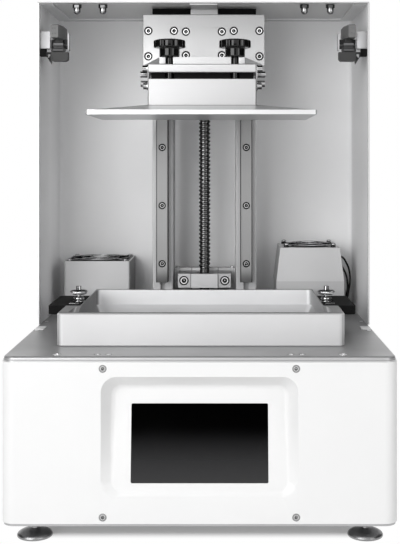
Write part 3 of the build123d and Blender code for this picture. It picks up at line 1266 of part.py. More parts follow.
def ball_nut():
    """The nut in its housing behind the carriage plate."""
    middle = sum(HOUSING_HEIGHTS) / 2
    housing_back = CARRIAGE_BACK + HOUSING_DEPTH
    with BuildPart() as piece:
        slab((-HOUSING_X, HOUSING_X), (CARRIAGE_BACK, housing_back), HOUSING_HEIGHTS)
        slab((-NUT_FLANGE_RADIUS, NUT_FLANGE_RADIUS), (housing_back, SCREW_DEPTH), (middle - 8, middle + 8))
        with Locations(facing_up(0, SCREW_DEPTH, middle - 8)):
            Cylinder(NUT_FLANGE_RADIUS, 16, align=CENTRED_UP)
        with Locations(facing_up(0, SCREW_DEPTH, HOUSING_HEIGHTS[0])):
            Cylinder(NUT_BODY_RADIUS, HOUSING_HEIGHTS[1] - HOUSING_HEIGHTS[0], align=CENTRED_UP)
        with Locations(facing_up(0, SCREW_DEPTH, HOUSING_HEIGHTS[1])):
            Hole(SCREW_RADIUS + RUN_GAP)
        with Locations(*carriage_screw_places(CARRIAGE_BACK)[8:]):
            Hole(CARRIAGE_SHANK + FIT_GAP, depth=10)
    keep(piece, "ball_nut")


ARM_SLOT = 8.5
ARM_SLOT_END = KNOB_DEPTH + 4.0


def arm():
    """The flat arm that the platform hangs on, with an open slot for each clamp stud."""
    front = ARM_FRONT_WIDTH / 2
    back = CARRIAGE_WIDTH / 2
    with BuildPart() as piece:
        with BuildSketch(Plane.XY.offset(ARM_BOTTOM)):
            with BuildLine():
                Polyline(
                    (-front, y_at(ARM_FRONT)), (front, y_at(ARM_FRONT)),
                    (back, y_at(CARRIAGE_FRONT)), (-back, y_at(CARRIAGE_FRONT)), close=True,
                )
            make_face()
            for x in (-KNOB_SPACING / 2, KNOB_SPACING / 2):
                with Locations((x, y_at(ARM_SLOT_END))):
                    Circle(ARM_SLOT / 2, mode=Mode.SUBTRACT)
                with Locations((x, y_at((ARM_FRONT + ARM_SLOT_END) / 2 - 1))):
                    Rectangle(ARM_SLOT, ARM_SLOT_END - ARM_FRONT + 2, mode=Mode.SUBTRACT)
        extrude(amount=ARM_THICKNESS)
    keep(piece, "arm")


# ---- Build platform -----------------------------------------------------------------------------------------
STUD_DEPTH_IN_BLOCK = 14.0
PAD_INSET = 8.0
HUB_BOTTOM = ARM_TOP + SLIDE_GAP
HUB_HEIGHT = 10.4
HEAD_HEIGHT = 10.8
KNOB_LOBES = 8
KNOB_CROWN = 1.2


def knob_places(z):
    """Where the clamp studs stand, at a given height."""
    return [facing_up(side * KNOB_SPACING / 2, KNOB_DEPTH, z) for side in (-1, 1)]


def build_plate():
    """The plate that the print grows on, with a hipped top that sheds resin."""
    with BuildPart() as piece:
        with Locations(facing_up(0, PLATE_CENTRE, PLATE_BOTTOM)):
            Box(PLATE_WIDTH, PLATE_DEPTH, PLATE_EDGE, align=CENTRED_UP)
        fillet(piece.edges().filter_by(Axis.Z), 3)
        with BuildSketch(Plane.XY.offset(PLATE_BOTTOM + PLATE_EDGE)) as eaves:
            with Locations((0, y_at(PLATE_CENTRE))):
                RectangleRounded(PLATE_WIDTH, PLATE_DEPTH, 3)
        with BuildSketch(Plane.XY.offset(PLATE_ROOF)) as ridge:
            with Locations((0, y_at(PLATE_CENTRE))):
                RectangleRounded(BLOCK_WIDTH, BLOCK_DEPTH, 3)
        loft([eaves.sketch, ridge.sketch], ruled=True)
    keep(piece, "build_plate")


def platform_block():
    """The block on the plate that carries the levelling joint."""
    with BuildPart() as piece:
        with Locations(facing_up(0, PLATE_CENTRE, PLATE_ROOF)):
            Box(BLOCK_WIDTH, BLOCK_DEPTH, BLOCK_HEIGHT, align=CENTRED_UP)
        chamfer(piece.edges().filter_by(Axis.Z), 0.8)
        with Locations(*knob_places(BLOCK_TOP)):
            Hole(STUD_RADIUS + RUN_GAP, depth=STUD_DEPTH_IN_BLOCK + 1)
    keep(piece, "platform_block")


def levelling_pad():
    """The dark levelling joint between the block and the clamp bar."""
    with BuildPart() as piece:
        slab(
            (-BLOCK_WIDTH / 2 + 3, BLOCK_WIDTH / 2 - 3),
            (PLATE_CENTRE - BLOCK_DEPTH / 2 + PAD_INSET, PLATE_CENTRE + BLOCK_DEPTH / 2 - PAD_INSET),
            (BLOCK_TOP, PAD_TOP),
        )
        with Locations(*knob_places(PAD_TOP)):
            Hole(STUD_RADIUS + 1.5)
    keep(piece, "levelling_pad")


def clamp_bar():
    """The bar that is pulled up against the arm."""
    with BuildPart() as piece:
        with Locations(facing_up(0, PLATE_CENTRE, PAD_TOP)):
            Box(BLOCK_WIDTH, BLOCK_DEPTH, BAR_THICKNESS, align=CENTRED_UP)
        chamfer(piece.edges().group_by(Axis.Y)[0], 0.5)
        with Locations(*knob_places(BAR_TOP)):
            Hole(STUD_RADIUS + RUN_GAP)
    keep(piece, "clamp_bar")


LINK_THICKNESS = 1.6
LINK_WIDTH = 30.0
LINK_HEAD = 3.7
LINK_WASHER = 4.4
# Each screw: how far in front of the middle, how far above the block's top, and how long its head is.
LINK_SCREWS = ((10.0, 13.6, 6.0), (-9.0, 8.4, 10.0), (-9.0, -2.4, 9.6), (10.0, -6.4, 5.2))


def side_links():
    """The levelling links on both ends of the block and bar, each with four screws."""
    near = BLOCK_WIDTH / 2
    depths = (PLATE_CENTRE - LINK_WIDTH / 2, PLATE_CENTRE + LINK_WIDTH / 2)
    with BuildPart() as piece:
        mirrored_slab((near, near + LINK_THICKNESS), depths, (BLOCK_TOP - 12, BAR_TOP - 1))
        for side in (-1, 1):
            for forward, lift, length in LINK_SCREWS:
                place = Plane(
                    origin=(side * (near + LINK_THICKNESS), y_at(PLATE_CENTRE - forward), BLOCK_TOP + lift),
                    z_dir=(side, 0, 0),
                ).location
                with Locations(place):
                    Cylinder(LINK_WASHER, 1.0, align=CENTRED_UP)
                    Cylinder(LINK_HEAD, length, align=CENTRED_UP)
                with Locations(place * Location((0, 0, length))):
                    Cylinder(LINK_HEAD / 2, 2, align=CENTRED_DOWN, mode=Mode.SUBTRACT)
    keep(piece, "side_links")


def knob(x, label):
    """A lobed clamping knob with its hub and stud."""
    head_bottom = HUB_BOTTOM + HUB_HEIGHT
    stud_bottom = BLOCK_TOP - STUD_DEPTH_IN_BLOCK
    centre = (x, y_at(KNOB_DEPTH))
    with BuildPart() as piece:
        with BuildSketch(Plane.XY.offset(head_bottom)) as lobes:
            with Locations(centre):
                Circle(KNOB_RADIUS)
                with PolarLocations(KNOB_RADIUS + 2.6, KNOB_LOBES, start_angle=180 / KNOB_LOBES):
                    Circle(4.6, mode=Mode.SUBTRACT)
        extrude(lobes.sketch, amount=HEAD_HEIGHT)
        wide, narrow = KNOB_RADIUS + KNOB_CROWN, KNOB_RADIUS - KNOB_CROWN
        with Locations((*centre, head_bottom)):
            Cone(wide, narrow, HEAD_HEIGHT, align=CENTRED_UP, mode=Mode.INTERSECT)
        with Locations((*centre, HUB_BOTTOM)):
            Cylinder(KNOB_HUB_RADIUS, HUB_HEIGHT, align=CENTRED_UP)
        with Locations((*centre, stud_bottom)):
            Cylinder(STUD_RADIUS, HUB_BOTTOM - stud_bottom, align=CENTRED_UP)
    keep(piece, label)


# ---- Vat ----------------------------------------------------------------------------------------------------
RING_WIDTH = FILM_OPENING_WIDTH + 2 * RING_BORDER
FILM_OPENING_DEPTH = FILM_BACK - FILM_FRONT
RING_DEPTH = FILM_OPENING_DEPTH + 2 * RING_BORDER
RING_CORNER = 8.0
FILM_BOTTOM = DECK + 0.1
FILM_TOP = FILM_BOTTOM + FILM_THICKNESS
RING_TOP = FILM_TOP + RING_THICKNESS
SCOOP_RADIUS = 7.0
SCOOP_SLOPE = 10.0
SCOOP_BACK = STEP_DEPTH - 1.0
SCOOP_FRONT = WELL_FRONT + 2.0


def well_outline(plane, width, front, back, corner):
    """A rounded rectangle between two depths, as a sketch on the given plane."""
    with BuildSketch(plane) as outline:
        with Locations((0, y_at((front + back) / 2))):
            RectangleRounded(width, back - front, corner)
    return outline.sketch


def vat_frame():
    """The resin vat, machined from one piece: sloping well, side shelves for the clamps, scooped front corners."""
    well_break = VAT_TOP - WELL_STRAIGHT
    slope = math.radians(SCOOP_SLOPE)
    well_top = well_outline(Plane.XY.offset(well_break), WELL_WIDTH, WELL_FRONT, WELL_BACK, WELL_CORNER)
    well_low = well_outline(Plane.XY.offset(RING_TOP), FILM_OPENING_WIDTH, FILM_FRONT, FILM_BACK, RING_CORNER)
    pocket = well_outline(
        Plane.XY.offset(DECK), RING_WIDTH + FIT_GAP,
        FILM_FRONT - RING_BORDER - FIT_GAP / 2, FILM_BACK + RING_BORDER + FIT_GAP / 2, RING_CORNER,
    )
    shelf = (WELL_WIDTH / 2 + RIM_THICKNESS, VAT_WIDTH / 2)
    with BuildPart() as piece:
        with BuildSketch(Plane.XY.offset(DECK)):
            with Locations((0, y_at(VAT_CENTRE))):
                RectangleRounded(VAT_WIDTH, VAT_BACK - VAT_FRONT, VAT_CORNER)
        extrude(amount=VAT_HEIGHT)
        chamfer(piece.edges().group_by(Axis.Z)[-1] + piece.edges().group_by(Axis.Z)[0], VAT_EDGE_ROUND)
        extrude(well_top, amount=WELL_STRAIGHT, mode=Mode.SUBTRACT)
        loft([well_low, well_top], ruled=True, mode=Mode.SUBTRACT)
        extrude(pocket, amount=RING_TOP - DECK, mode=Mode.SUBTRACT)
        mirrored_slab(shelf, (STEP_DEPTH, VAT_BACK), (VAT_TOP - STEP_DROP, VAT_TOP), mode=Mode.SUBTRACT)
        for side in (-1, 1):
            start = Plane(
                origin=(side * WELL_WIDTH / 2, y_at(SCOOP_BACK), VAT_TOP), x_dir=(1, 0, 0),
                z_dir=(0, -math.cos(slope), -math.sin(slope)),
            )
            with BuildSketch(start) as scoop:
                with Locations((0, SCOOP_RADIUS)):
                    Circle(SCOOP_RADIUS)
                with Locations((0, 2 * SCOOP_RADIUS)):
                    Rectangle(2 * SCOOP_RADIUS, 2 * SCOOP_RADIUS)
            extrude(scoop.sketch, amount=(SCOOP_BACK - SCOOP_FRONT) / math.cos(slope), mode=Mode.SUBTRACT)
    keep(piece, "vat_frame")


def film_frame():
    """The clear release film, bonded under the ring that fits into the vat's bottom."""
    with BuildPart() as piece:
        with BuildSketch(Plane.XY.offset(FILM_BOTTOM)):
            with Locations((0, y_at(PLATE_CENTRE))):
                RectangleRounded(RING_WIDTH, RING_DEPTH, RING_CORNER)
        extrude(amount=FILM_THICKNESS)
        with BuildSketch(Plane.XY.offset(FILM_TOP)):
            with Locations((0, y_at(PLATE_CENTRE))):
                RectangleRounded(RING_WIDTH, RING_DEPTH, RING_CORNER)
                RectangleRounded(FILM_OPENING_WIDTH, FILM_OPENING_DEPTH, RING_CORNER, mode=Mode.SUBTRACT)
        extrude(amount=RING_THICKNESS)
    keep(piece, "film_frame")


# ---- Vat clamps and thumb screws ----------------------------------------------------------------------------
CLAMP_BOTTOM = VAT_TOP - STEP_DROP + SLIDE_GAP
CLAMP_TOP = CLAMP_BOTTOM + CLAMP_THICKNESS
CLAMP_INSIDE = WELL_WIDTH / 2 + RIM_THICKNESS + SLIDE_GAP
CLAMP_CORNER = 6.0
THUMB_STUD = 2.6
THUMB_TOP = CLAMP_TOP + 18.0


def vat_clamp(side, hand):
    """A black clamp: a plate over the vat's shelf on a post that stands on the deck."""
    x = span(side, CLAMP_INSIDE, CLAMP_OUTSIDE)
    post = span(side, POST_INSIDE, POST_INSIDE + POST_WIDTH)
    with BuildPart() as piece:
        slab(x, (CLAMP_FRONT, CLAMP_BACK), (CLAMP_BOTTOM, CLAMP_TOP))
        outer = piece.edges().filter_by(Axis.Z).group_by(Axis.X)[-1 if side > 0 else 0]
        fillet(outer, CLAMP_CORNER)
        slab(post, (CLAMP_FRONT + 8, CLAMP_BACK - 8), (DECK, CLAMP_BOTTOM))
        chamfer(piece.edges().group_by(Axis.Z)[-1], 0.6)
        with Locations(facing_up(side * THUMB_X, THUMB_DEPTH, CLAMP_TOP)):
            Hole(THUMB_STUD + RUN_GAP)
    keep(piece, f"vat_clamp_{hand}")


def thumb_screw(side, hand):
    """A turned thumb screw: stud, foot flange, waisted neck and milled disc, as one revolved outline."""
    low = CLAMP_BOTTOM + 0.2
    foot_low = CLAMP_TOP + 0.1
    with BuildPart() as piece:
        with BuildSketch(Plane(origin=(side * THUMB_X, y_at(THUMB_DEPTH), 0), x_dir=(1, 0, 0), z_dir=(0, -1, 0))):
            with BuildLine():
                Polyline(
                    (0, low), (THUMB_STUD, low), (THUMB_STUD, foot_low), (6, foot_low), (6, foot_low + 1.6),
                    (2.4, foot_low + 2.2), (4.1, foot_low + 3.8), (4.1, foot_low + 6.6), (2.4, foot_low + 8.2),
                    (8.6, foot_low + 8.9), (9.75, foot_low + 9.8), (9.75, foot_low + 12),
                    (8.8, foot_low + 12.8), (THUMB_STUD, foot_low + 12.8), (THUMB_STUD, THUMB_TOP), (0, THUMB_TOP),
                    (0, low),
                )
            make_face()
        revolve(axis=Axis((side * THUMB_X, y_at(THUMB_DEPTH), 0), (0, 0, 1)))
    keep(piece, f"thumb_screw_{hand}")


# ---- Chamber fans -------------------------------------------------------------------------------------------
BOX_LEDGE = 6.0
GUARD_RINGS = 3
GUARD_WIRE = 1.4
LEFT_FAN_TOP = DECK + LEFT_BOX_HEIGHT - FIT_GAP
DUCT_TOP = DECK + DUCT_HEIGHT
DUCT_FAN_BOTTOM = DUCT_TOP - SHEET - FAN_THICKNESS
DUCT_POST = 5.0
DUCT_SCREW_SPACING = DUCT_FAN_SIZE - 10.0
DUCT_BORE = DUCT_FAN_SIZE / 2 - 3.0


def wire_guard(place, radius, corner, lift):
    """A finger guard: rings on four straight wires that reach the corners."""
    with Locations(place):
        for i in range(GUARD_RINGS):
            ring = radius * (i + 1) / GUARD_RINGS
            step = lift * (1 - (ring / radius) ** 2)
            with Locations((0, 0, step)):
                Cylinder(ring, GUARD_WIRE, align=CENTRED_UP)
                Cylinder(ring - GUARD_WIRE, GUARD_WIRE, align=CENTRED_UP, mode=Mode.SUBTRACT)
        with PolarLocations(0, 2, start_angle=45):
            with Locations((0, 0, 0)):
                Box(2 * corner, GUARD_WIRE, GUARD_WIRE, align=CENTRED_UP)


def fan_box_left():
    """The bent sheet box round the left fan, open at the top and against the back wall."""
    half = FAN_SIZE / 2 + FIT_GAP + SHEET
    with BuildPart() as piece:
        slab(
            (LEFT_BOX_CENTRE - half, LEFT_BOX_CENTRE + half), (FAN_FRONT, TOWER_BACK_INSIDE),
            (DECK, DECK + LEFT_BOX_HEIGHT),
        )
        fillet(piece.edges().filter_by(Axis.Z).group_by(Axis.Y)[0], 3)
        slab(
            (LEFT_BOX_CENTRE - half + SHEET, LEFT_BOX_CENTRE + half - SHEET),
            (FAN_FRONT + SHEET, TOWER_BACK_INSIDE), (DECK, DECK + LEFT_BOX_HEIGHT), mode=Mode.SUBTRACT,
        )
        ledge = LEFT_FAN_TOP - FAN_THICKNESS
        for x in (LEFT_BOX_CENTRE - half, LEFT_BOX_CENTRE + half - BOX_LEDGE):
            slab((x, x + BOX_LEDGE), (FAN_FRONT + SHEET, TOWER_BACK_INSIDE), (ledge - SHEET, ledge))
    keep(piece, "fan_box_left")


def fan_left():
    """The left chamber fan with its guard, just below the rim of its box."""
    place = facing_up(LEFT_BOX_CENTRE, FAN_CENTRE_DEPTH, LEFT_FAN_TOP - FAN_THICKNESS)
    with BuildPart() as frame:
        fan_frame(place, FAN_SIZE, FAN_THICKNESS)
        wire_guard(facing_up(LEFT_BOX_CENTRE, FAN_CENTRE_DEPTH, LEFT_FAN_TOP), FAN_SIZE * 0.46, FAN_SIZE * 0.62, 0)
    keep(frame, "fan_left_frame")
    fan_rotor(place, FAN_SIZE, FAN_THICKNESS, "fan_left_rotor")


def duct_outline(z, width, front, inset):
    """The duct's outline at a height, smaller by inset on the front and sides."""
    depth = TOWER_BACK_INSIDE - front - inset
    with BuildSketch(Plane.XY.offset(z)) as outline:
        with Locations((DUCT_CENTRE, y_at(TOWER_BACK_INSIDE - depth / 2))):
            Rectangle(width - 2 * inset, depth)
    return outline.sketch


def duct_solid(inset, top):
    """The duct as a solid: straight at the bottom, then tapering on both sides and the front."""
    bend = DECK + DUCT_STRAIGHT
    with BuildPart() as solid:
        extrude(duct_outline(DECK, DUCT_WIDTH, DUCT_FRONT, inset), amount=DUCT_STRAIGHT)
        loft(
            [
                duct_outline(bend, DUCT_WIDTH, DUCT_FRONT, inset),
                duct_outline(top, DUCT_TOP_WIDTH, DUCT_FRONT + 4, inset),
            ],
            ruled=True,
        )
    return solid.part


def duct_fan_places(z):
    """The screws at the corners of the right fan."""
    half = DUCT_SCREW_SPACING / 2
    return [facing_up(DUCT_CENTRE + i * half, DUCT_FAN_DEPTH + j * half, z) for i in (-1, 1) for j in (-1, 1)]


def duct_right():
    """The tapered sheet duct on the right, closed on top round the fan's opening."""
    outside = duct_solid(0, DUCT_TOP)
    hollow = duct_solid(SHEET, DUCT_TOP - SHEET)
    with BuildPart() as piece:
        add(outside)
        add(hollow, mode=Mode.SUBTRACT)
        with Locations(facing_up(DUCT_CENTRE, DUCT_FAN_DEPTH, DUCT_TOP)):
            Cylinder(DUCT_BORE, 2 * SHEET, mode=Mode.SUBTRACT)
        with Locations(*duct_fan_places(DUCT_TOP)):
            Cylinder(2.2, 2 * SHEET, mode=Mode.SUBTRACT)
        for i, z in enumerate(LEAD_STARTS):
            slab((DUCT_CENTRE + DUCT_FAN_SIZE / 2, DUCT_CENTRE + DUCT_WIDTH / 2), lead_depths(i), (z - 5, z + 2),
                 mode=Mode.SUBTRACT)
    keep(piece, "duct_right")


def fan_right():
    """The right fan under the duct's top, with its domed guard and long screws above."""
    place = facing_up(DUCT_CENTRE, DUCT_FAN_DEPTH, DUCT_FAN_BOTTOM)
    with BuildPart() as frame:
        fan_frame(place, DUCT_FAN_SIZE, FAN_THICKNESS)
        with Locations(*duct_fan_places(DUCT_FAN_BOTTOM + FAN_THICKNESS)):
            Cylinder(1.9, SHEET + DUCT_POST, align=CENTRED_UP)
        with Locations(*duct_fan_places(DUCT_TOP)):
            Cylinder(3.2, 2.6, align=CENTRED_UP)
        wire_guard(
            facing_up(DUCT_CENTRE, DUCT_FAN_DEPTH, DUCT_TOP), DUCT_BORE - 1, DUCT_SCREW_SPACING * 0.707, 0,
        )
    keep(frame, "fan_right_frame")
    fan_rotor(place, DUCT_FAN_SIZE, FAN_THICKNESS, "fan_right_rotor")


# The leads run from a hole in the duct's side, out and down to the deck.
LEAD_STARTS = (DUCT_TOP - 10.5, DUCT_TOP - 20.5)


def lead_depths(i):
    """The depth range of a lead's hole in the duct."""
    middle = LEAD_DEPTH + i * LEAD_SPACING
    return (middle - 1.8, middle + 1.8)


def lead_route(i):
    """The points of a fan lead: out of the duct, over a bulge and down through the deck."""
    inward = 2.5 * i
    start = LEAD_STARTS[i]
    y = y_at(LEAD_DEPTH + i * LEAD_SPACING)
    return [
        (DUCT_CENTRE + DUCT_FAN_SIZE / 2 + 2 * FIT_GAP, y, start),
        (TOWER_INSIDE - 18.1 - inward, y, start - 3),
        (TOWER_INSIDE - 10.6 - inward, y, start - 17),
        (TOWER_INSIDE - 9.1 - inward, y, start - 33),
        (TOWER_INSIDE - 12.6 - inward * 0.6, y, DECK + 22),
        (LEAD_HOLE_X, y, DECK + 8),
        (LEAD_HOLE_X, y, SHELL_TOP),
    ]


def lead_radii(points):
    """The arc at each corner: 0.45 of the shorter run over the tangent of half the turn."""
    radii = []
    for before, corner, after in zip(points, points[1:], points[2:]):
        run_in = Vector(*corner) - Vector(*before)
        run_out = Vector(*after) - Vector(*corner)
        half_turn = math.radians(run_in.get_angle(run_out)) / 2
        radii.append(0.45 * min(run_in.length, run_out.length) / math.tan(half_turn))
    return radii


def fan_leads():
    """The two black leads of the right fan."""
    with BuildPart() as piece:
        for i in range(2):
            points = lead_route(i)
            radii = lead_radii(points)
            print("lead", i, "radii", [round(r, 1) for r in radii])
            with BuildLine() as route:
                FilletPolyline(*points, radius=radii)
            with BuildSketch(Plane(origin=route.line @ 0, z_dir=route.line % 0)) as section:
                Circle(LEAD_RADIUS)
            sweep(section.sketch, path=route.line)
    keep(piece, "fan_leads")


def main():
    feet()
    bottom_plate()
    base_shell()
    touch_screen()
    deck_frame()
    deck_plate()
    mask_panel()
    cover_pads()
    uv_lamp()
    lamp_fan()
    mainboard()
    power_supply()
    power_inlet()
    power_switch()
    z_motor()
    tower_shell()
    top_panel()
    cap_nuts()
    for side, hand in ((-1, "left"), (1, "right")):
        hinge_bracket(side, hand)
        hinge_cup(side, hand)
        vat_clamp(side, hand)
        thumb_screw(side, hand)
        knob(side * KNOB_SPACING / 2, f"knob_{hand}")
    hinge_dampers()
    columns()
    linear_rails()
    top_beam()
    upper_bearing()
    lower_bearing()
    frame_screws()
    ball_screw()
    shaft_coupling()
    carriage_plate()
    carriage_screws()
    guide_blocks()
    ball_nut()
    arm()
    build_plate()
    platform_block()
    levelling_pad()
    clamp_bar()
    side_links()
    vat_frame()
    film_frame()
    fan_box_left()
    fan_left()
    duct_right()
    fan_right()
    fan_leads()


main()
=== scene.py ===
"""Desktop resin printer: finishes for the frame's nodes, threaded, lobed and bladed pieces, and a stage."""

import json
import math
from dataclasses import dataclass, field, replace
from typing import Callable, NamedTuple

import bmesh
import bpy
import numpy as np
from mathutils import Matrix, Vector

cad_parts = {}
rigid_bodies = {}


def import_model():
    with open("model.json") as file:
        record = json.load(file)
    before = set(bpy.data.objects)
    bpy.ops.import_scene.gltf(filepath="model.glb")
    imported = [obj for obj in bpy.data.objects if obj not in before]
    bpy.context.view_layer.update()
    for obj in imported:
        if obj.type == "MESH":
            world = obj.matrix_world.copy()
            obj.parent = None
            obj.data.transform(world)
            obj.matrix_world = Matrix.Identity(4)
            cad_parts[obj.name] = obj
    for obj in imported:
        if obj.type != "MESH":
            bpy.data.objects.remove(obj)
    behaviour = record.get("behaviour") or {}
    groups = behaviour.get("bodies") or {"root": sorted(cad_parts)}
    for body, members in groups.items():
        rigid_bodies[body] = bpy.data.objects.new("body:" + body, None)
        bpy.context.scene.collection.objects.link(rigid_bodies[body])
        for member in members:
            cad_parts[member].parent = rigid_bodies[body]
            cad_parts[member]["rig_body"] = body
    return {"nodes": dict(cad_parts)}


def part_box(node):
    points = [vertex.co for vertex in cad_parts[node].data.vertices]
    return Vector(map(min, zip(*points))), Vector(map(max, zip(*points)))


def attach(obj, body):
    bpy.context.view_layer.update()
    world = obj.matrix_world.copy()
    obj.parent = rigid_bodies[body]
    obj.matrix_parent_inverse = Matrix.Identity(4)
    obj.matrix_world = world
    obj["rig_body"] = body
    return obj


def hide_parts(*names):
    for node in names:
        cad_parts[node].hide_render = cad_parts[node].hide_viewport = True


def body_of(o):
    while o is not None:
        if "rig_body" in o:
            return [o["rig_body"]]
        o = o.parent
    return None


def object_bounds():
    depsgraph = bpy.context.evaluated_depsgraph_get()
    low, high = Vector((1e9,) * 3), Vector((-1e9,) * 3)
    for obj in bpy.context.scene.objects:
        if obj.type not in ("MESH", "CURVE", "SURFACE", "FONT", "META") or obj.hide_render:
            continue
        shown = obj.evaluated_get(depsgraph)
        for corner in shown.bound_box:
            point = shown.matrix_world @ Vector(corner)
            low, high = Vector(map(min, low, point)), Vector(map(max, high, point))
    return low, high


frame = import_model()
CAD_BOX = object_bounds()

bl_info = {
    "name": "Resin Printer",
    "version": (1, 0, 0),
    "blender": (4, 5, 0),
    "location": "View3D > Sidebar > Printer",
    "description": "Finishes a desktop resin printer and sets it on a plain studio stage",
    "category": "Object",
}

MM = 0.001
TURN = 2 * math.pi
DIAGONAL = 0.7071  # the cosine of 45 degrees
CREASE = math.radians(32)  # an edge that turns more than this is sharp
MERGE = 1e-6  # points closer than this are one
DUCT_FOLD = 43.2 * MM  # from the duct's foot to the fold in its sides
RAIL_WIDTH = 15 * MM
BEARING_BLOCK = 17 * MM  # half the width of a bearing's middle block
CORNERS = ((-1, -1), (-1, 1), (1, -1), (1, 1))
WHITE = (1.0, 1.0, 1.0, 1.0)
NODES = frame["nodes"]
GROUPS = {}
MATERIALS = {}


# ---- Places taken from the frame ----

def axis(node):
    """The point of the floor under the middle of a node's box."""
    low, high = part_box(node)
    centre = (low + high) / 2
    return centre.x, centre.y, 0.0


def half_width(node):
    """Half the width of a node's box."""
    low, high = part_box(node)
    return (high.x - low.x) / 2


def box_mm(node):
    """The low and high corner of a node's box, in millimetres."""
    return [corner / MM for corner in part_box(node)]


def solid_boxes(node):
    """The low and high corner of each separate solid of a node.

    Every point takes the lowest number among the points that edges join it to, until no number changes.
    """
    mesh = NODES[node].data
    points = np.empty(len(mesh.vertices) * 3)
    mesh.vertices.foreach_get("co", points)
    edges = np.empty(len(mesh.edges) * 2, int)
    mesh.edges.foreach_get("vertices", edges)
    turn = np.array(NODES[node].matrix_world)
    points = points.reshape(-1, 3) @ turn[:3, :3].T + turn[:3, 3]
    _, first, same = np.unique(np.round(points, 6), axis=0, return_index=True, return_inverse=True)
    points, ends = points[first], same.reshape(-1)[edges].reshape(-1, 2)
    label = np.arange(len(points))
    while True:
        lowest = label.copy()
        np.minimum.at(lowest, ends[:, 0], label[ends[:, 1]])
        np.minimum.at(lowest, ends[:, 1], label[ends[:, 0]])
        if np.array_equal(lowest, label):
            break
        label = lowest[lowest]
    solids = [points[label == mark] for mark in np.unique(label)]
    return [(solid.min(axis=0), solid.max(axis=0)) for solid in solids]


# ---- Surfaces ----

class Sheet(NamedTuple):
    """A grid of points. ring joins its last column to its first, and loop its last row to its first."""

    points: np.ndarray
    ring: bool = True
    loop: bool = False
    finish: int = 0


def grid_quads(sheet):
    """Quads between neighbouring points of a sheet."""
    rows, columns = sheet.points.shape[:2]
    index = np.arange(rows * columns).reshape(rows, columns)
    index = np.pad(index, ((0, int(sheet.loop)), (0, int(sheet.ring))), mode="wrap")
    corners = [index[:-1, :-1], index[:-1, 1:], index[1:, 1:], index[1:, :-1]]
    return np.stack(corners, axis=-1).reshape(-1, 4)


def build_piece(name, sheets, body, finishes, stands_for=(), crease=40.0, edge=0.0):
    """Joins sheets into one piece that rides on a body, with its edges broken to a width where one is given.

    Points that fall together are merged, which closes poles and seams, and all faces are turned outwards.
    """
    points = np.concatenate([sheet.points.reshape(-1, 3) for sheet in sheets])
    starts = np.cumsum([0] + [sheet.points.size // 3 for sheet in sheets])
    quads = [grid_quads(sheet) + start for sheet, start in zip(sheets, starts)]
    mesh = bpy.data.meshes.new(name)
    mesh.from_pydata(points, [], np.concatenate(quads))
    for finish in finishes:
        mesh.materials.append(MATERIALS[finish])
    numbers = np.repeat([sheet.finish for sheet in sheets], [len(part) for part in quads])
    mesh.polygons.foreach_set("material_index", numbers)
    mesh.validate()
    piece = bpy.data.objects.new(name, mesh)
    bpy.context.scene.collection.objects.link(piece)
    close_up(mesh)
    mesh.shade_smooth()
    mesh.set_sharp_from_angle(angle=math.radians(crease))
    if edge:
        break_edges(piece, edge, 3)
    if stands_for:
        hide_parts(*stands_for)
    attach(piece, body)


def close_up(mesh):
    """Merges the points of a mesh that fall together and turns its faces outwards."""
    shape = bmesh.new()
    shape.from_mesh(mesh)
    bmesh.ops.remove_doubles(shape, verts=shape.verts, dist=2 * MERGE)
    bmesh.ops.dissolve_degenerate(shape, edges=shape.edges, dist=0.1 * MERGE)
    bmesh.ops.recalc_face_normals(shape, faces=shape.faces)
    shape.to_mesh(mesh)
    shape.free()


def break_edges(piece, width, segments):
    """Rounds a piece's sharp edges to a width."""
    bevel = piece.modifiers.new("Broken Edges", "BEVEL")
    bevel.width = width
    bevel.segments = segments
    bevel.limit_method = "ANGLE"
    bevel.angle_limit = CREASE


def polar(centre, radius, angle, height):
    """Points round an upright line: (x + radius * cos(angle), y + radius * sin(angle), height)."""
    x, y = centre[0] + radius * np.cos(angle), centre[1] + radius * np.sin(angle)
    return np.stack(np.broadcast_arrays(x, y, height), axis=-1)


def mm(*points):
    """Profile points given in millimetres."""
    return np.array(points, float) * MM


def turned(profile, centre, segments, soft=None, swell=None, **sheet):
    """A turned surface: each profile point (radius, height) swept round the upright line through centre.

    point = centre + (radius * s * cos a, radius * s * sin a, height), where s is swell(a, profile) or 1.
    The profile's corners are rounded first where soft gives a radius and a number of steps.
    """
    profile = rounded(profile, *soft) if soft else np.asarray(profile, float)
    angle = np.linspace(0, TURN, segments, endpoint=False)
    share = swell(angle, profile) if swell else np.ones_like(angle)
    return Sheet(polar(centre, profile[:, :1] * share, angle, centre[2] + profile[:, 1:]), **sheet)


def rounded(corners, radius, steps):
    """A profile whose inner corners are cut by quadratic arcs that start and end within radius of the corner.

    Between the points a and b on the two sides, point(t) = (1-t)^2 a + 2t(1-t) corner + t^2 b.
    """
    corners = np.asarray(corners, float)
    here = corners[1:-1, None]

    def cut(neighbours):
        """A point towards each corner's neighbour, less than half of the way."""
        to_next = neighbours[:, None] - here
        length = np.linalg.norm(to_next, axis=-1, keepdims=True)
        return here + to_next / length * np.minimum(radius, length * 0.48)

    t = np.linspace(0, 1, steps + 1)[None, :, None]
    arcs = (1 - t) ** 2 * cut(corners[:-2]) + 2 * t * (1 - t) * here + t ** 2 * cut(corners[2:])
    return np.concatenate([corners[:1], arcs.reshape(-1, 2), corners[-1:]])


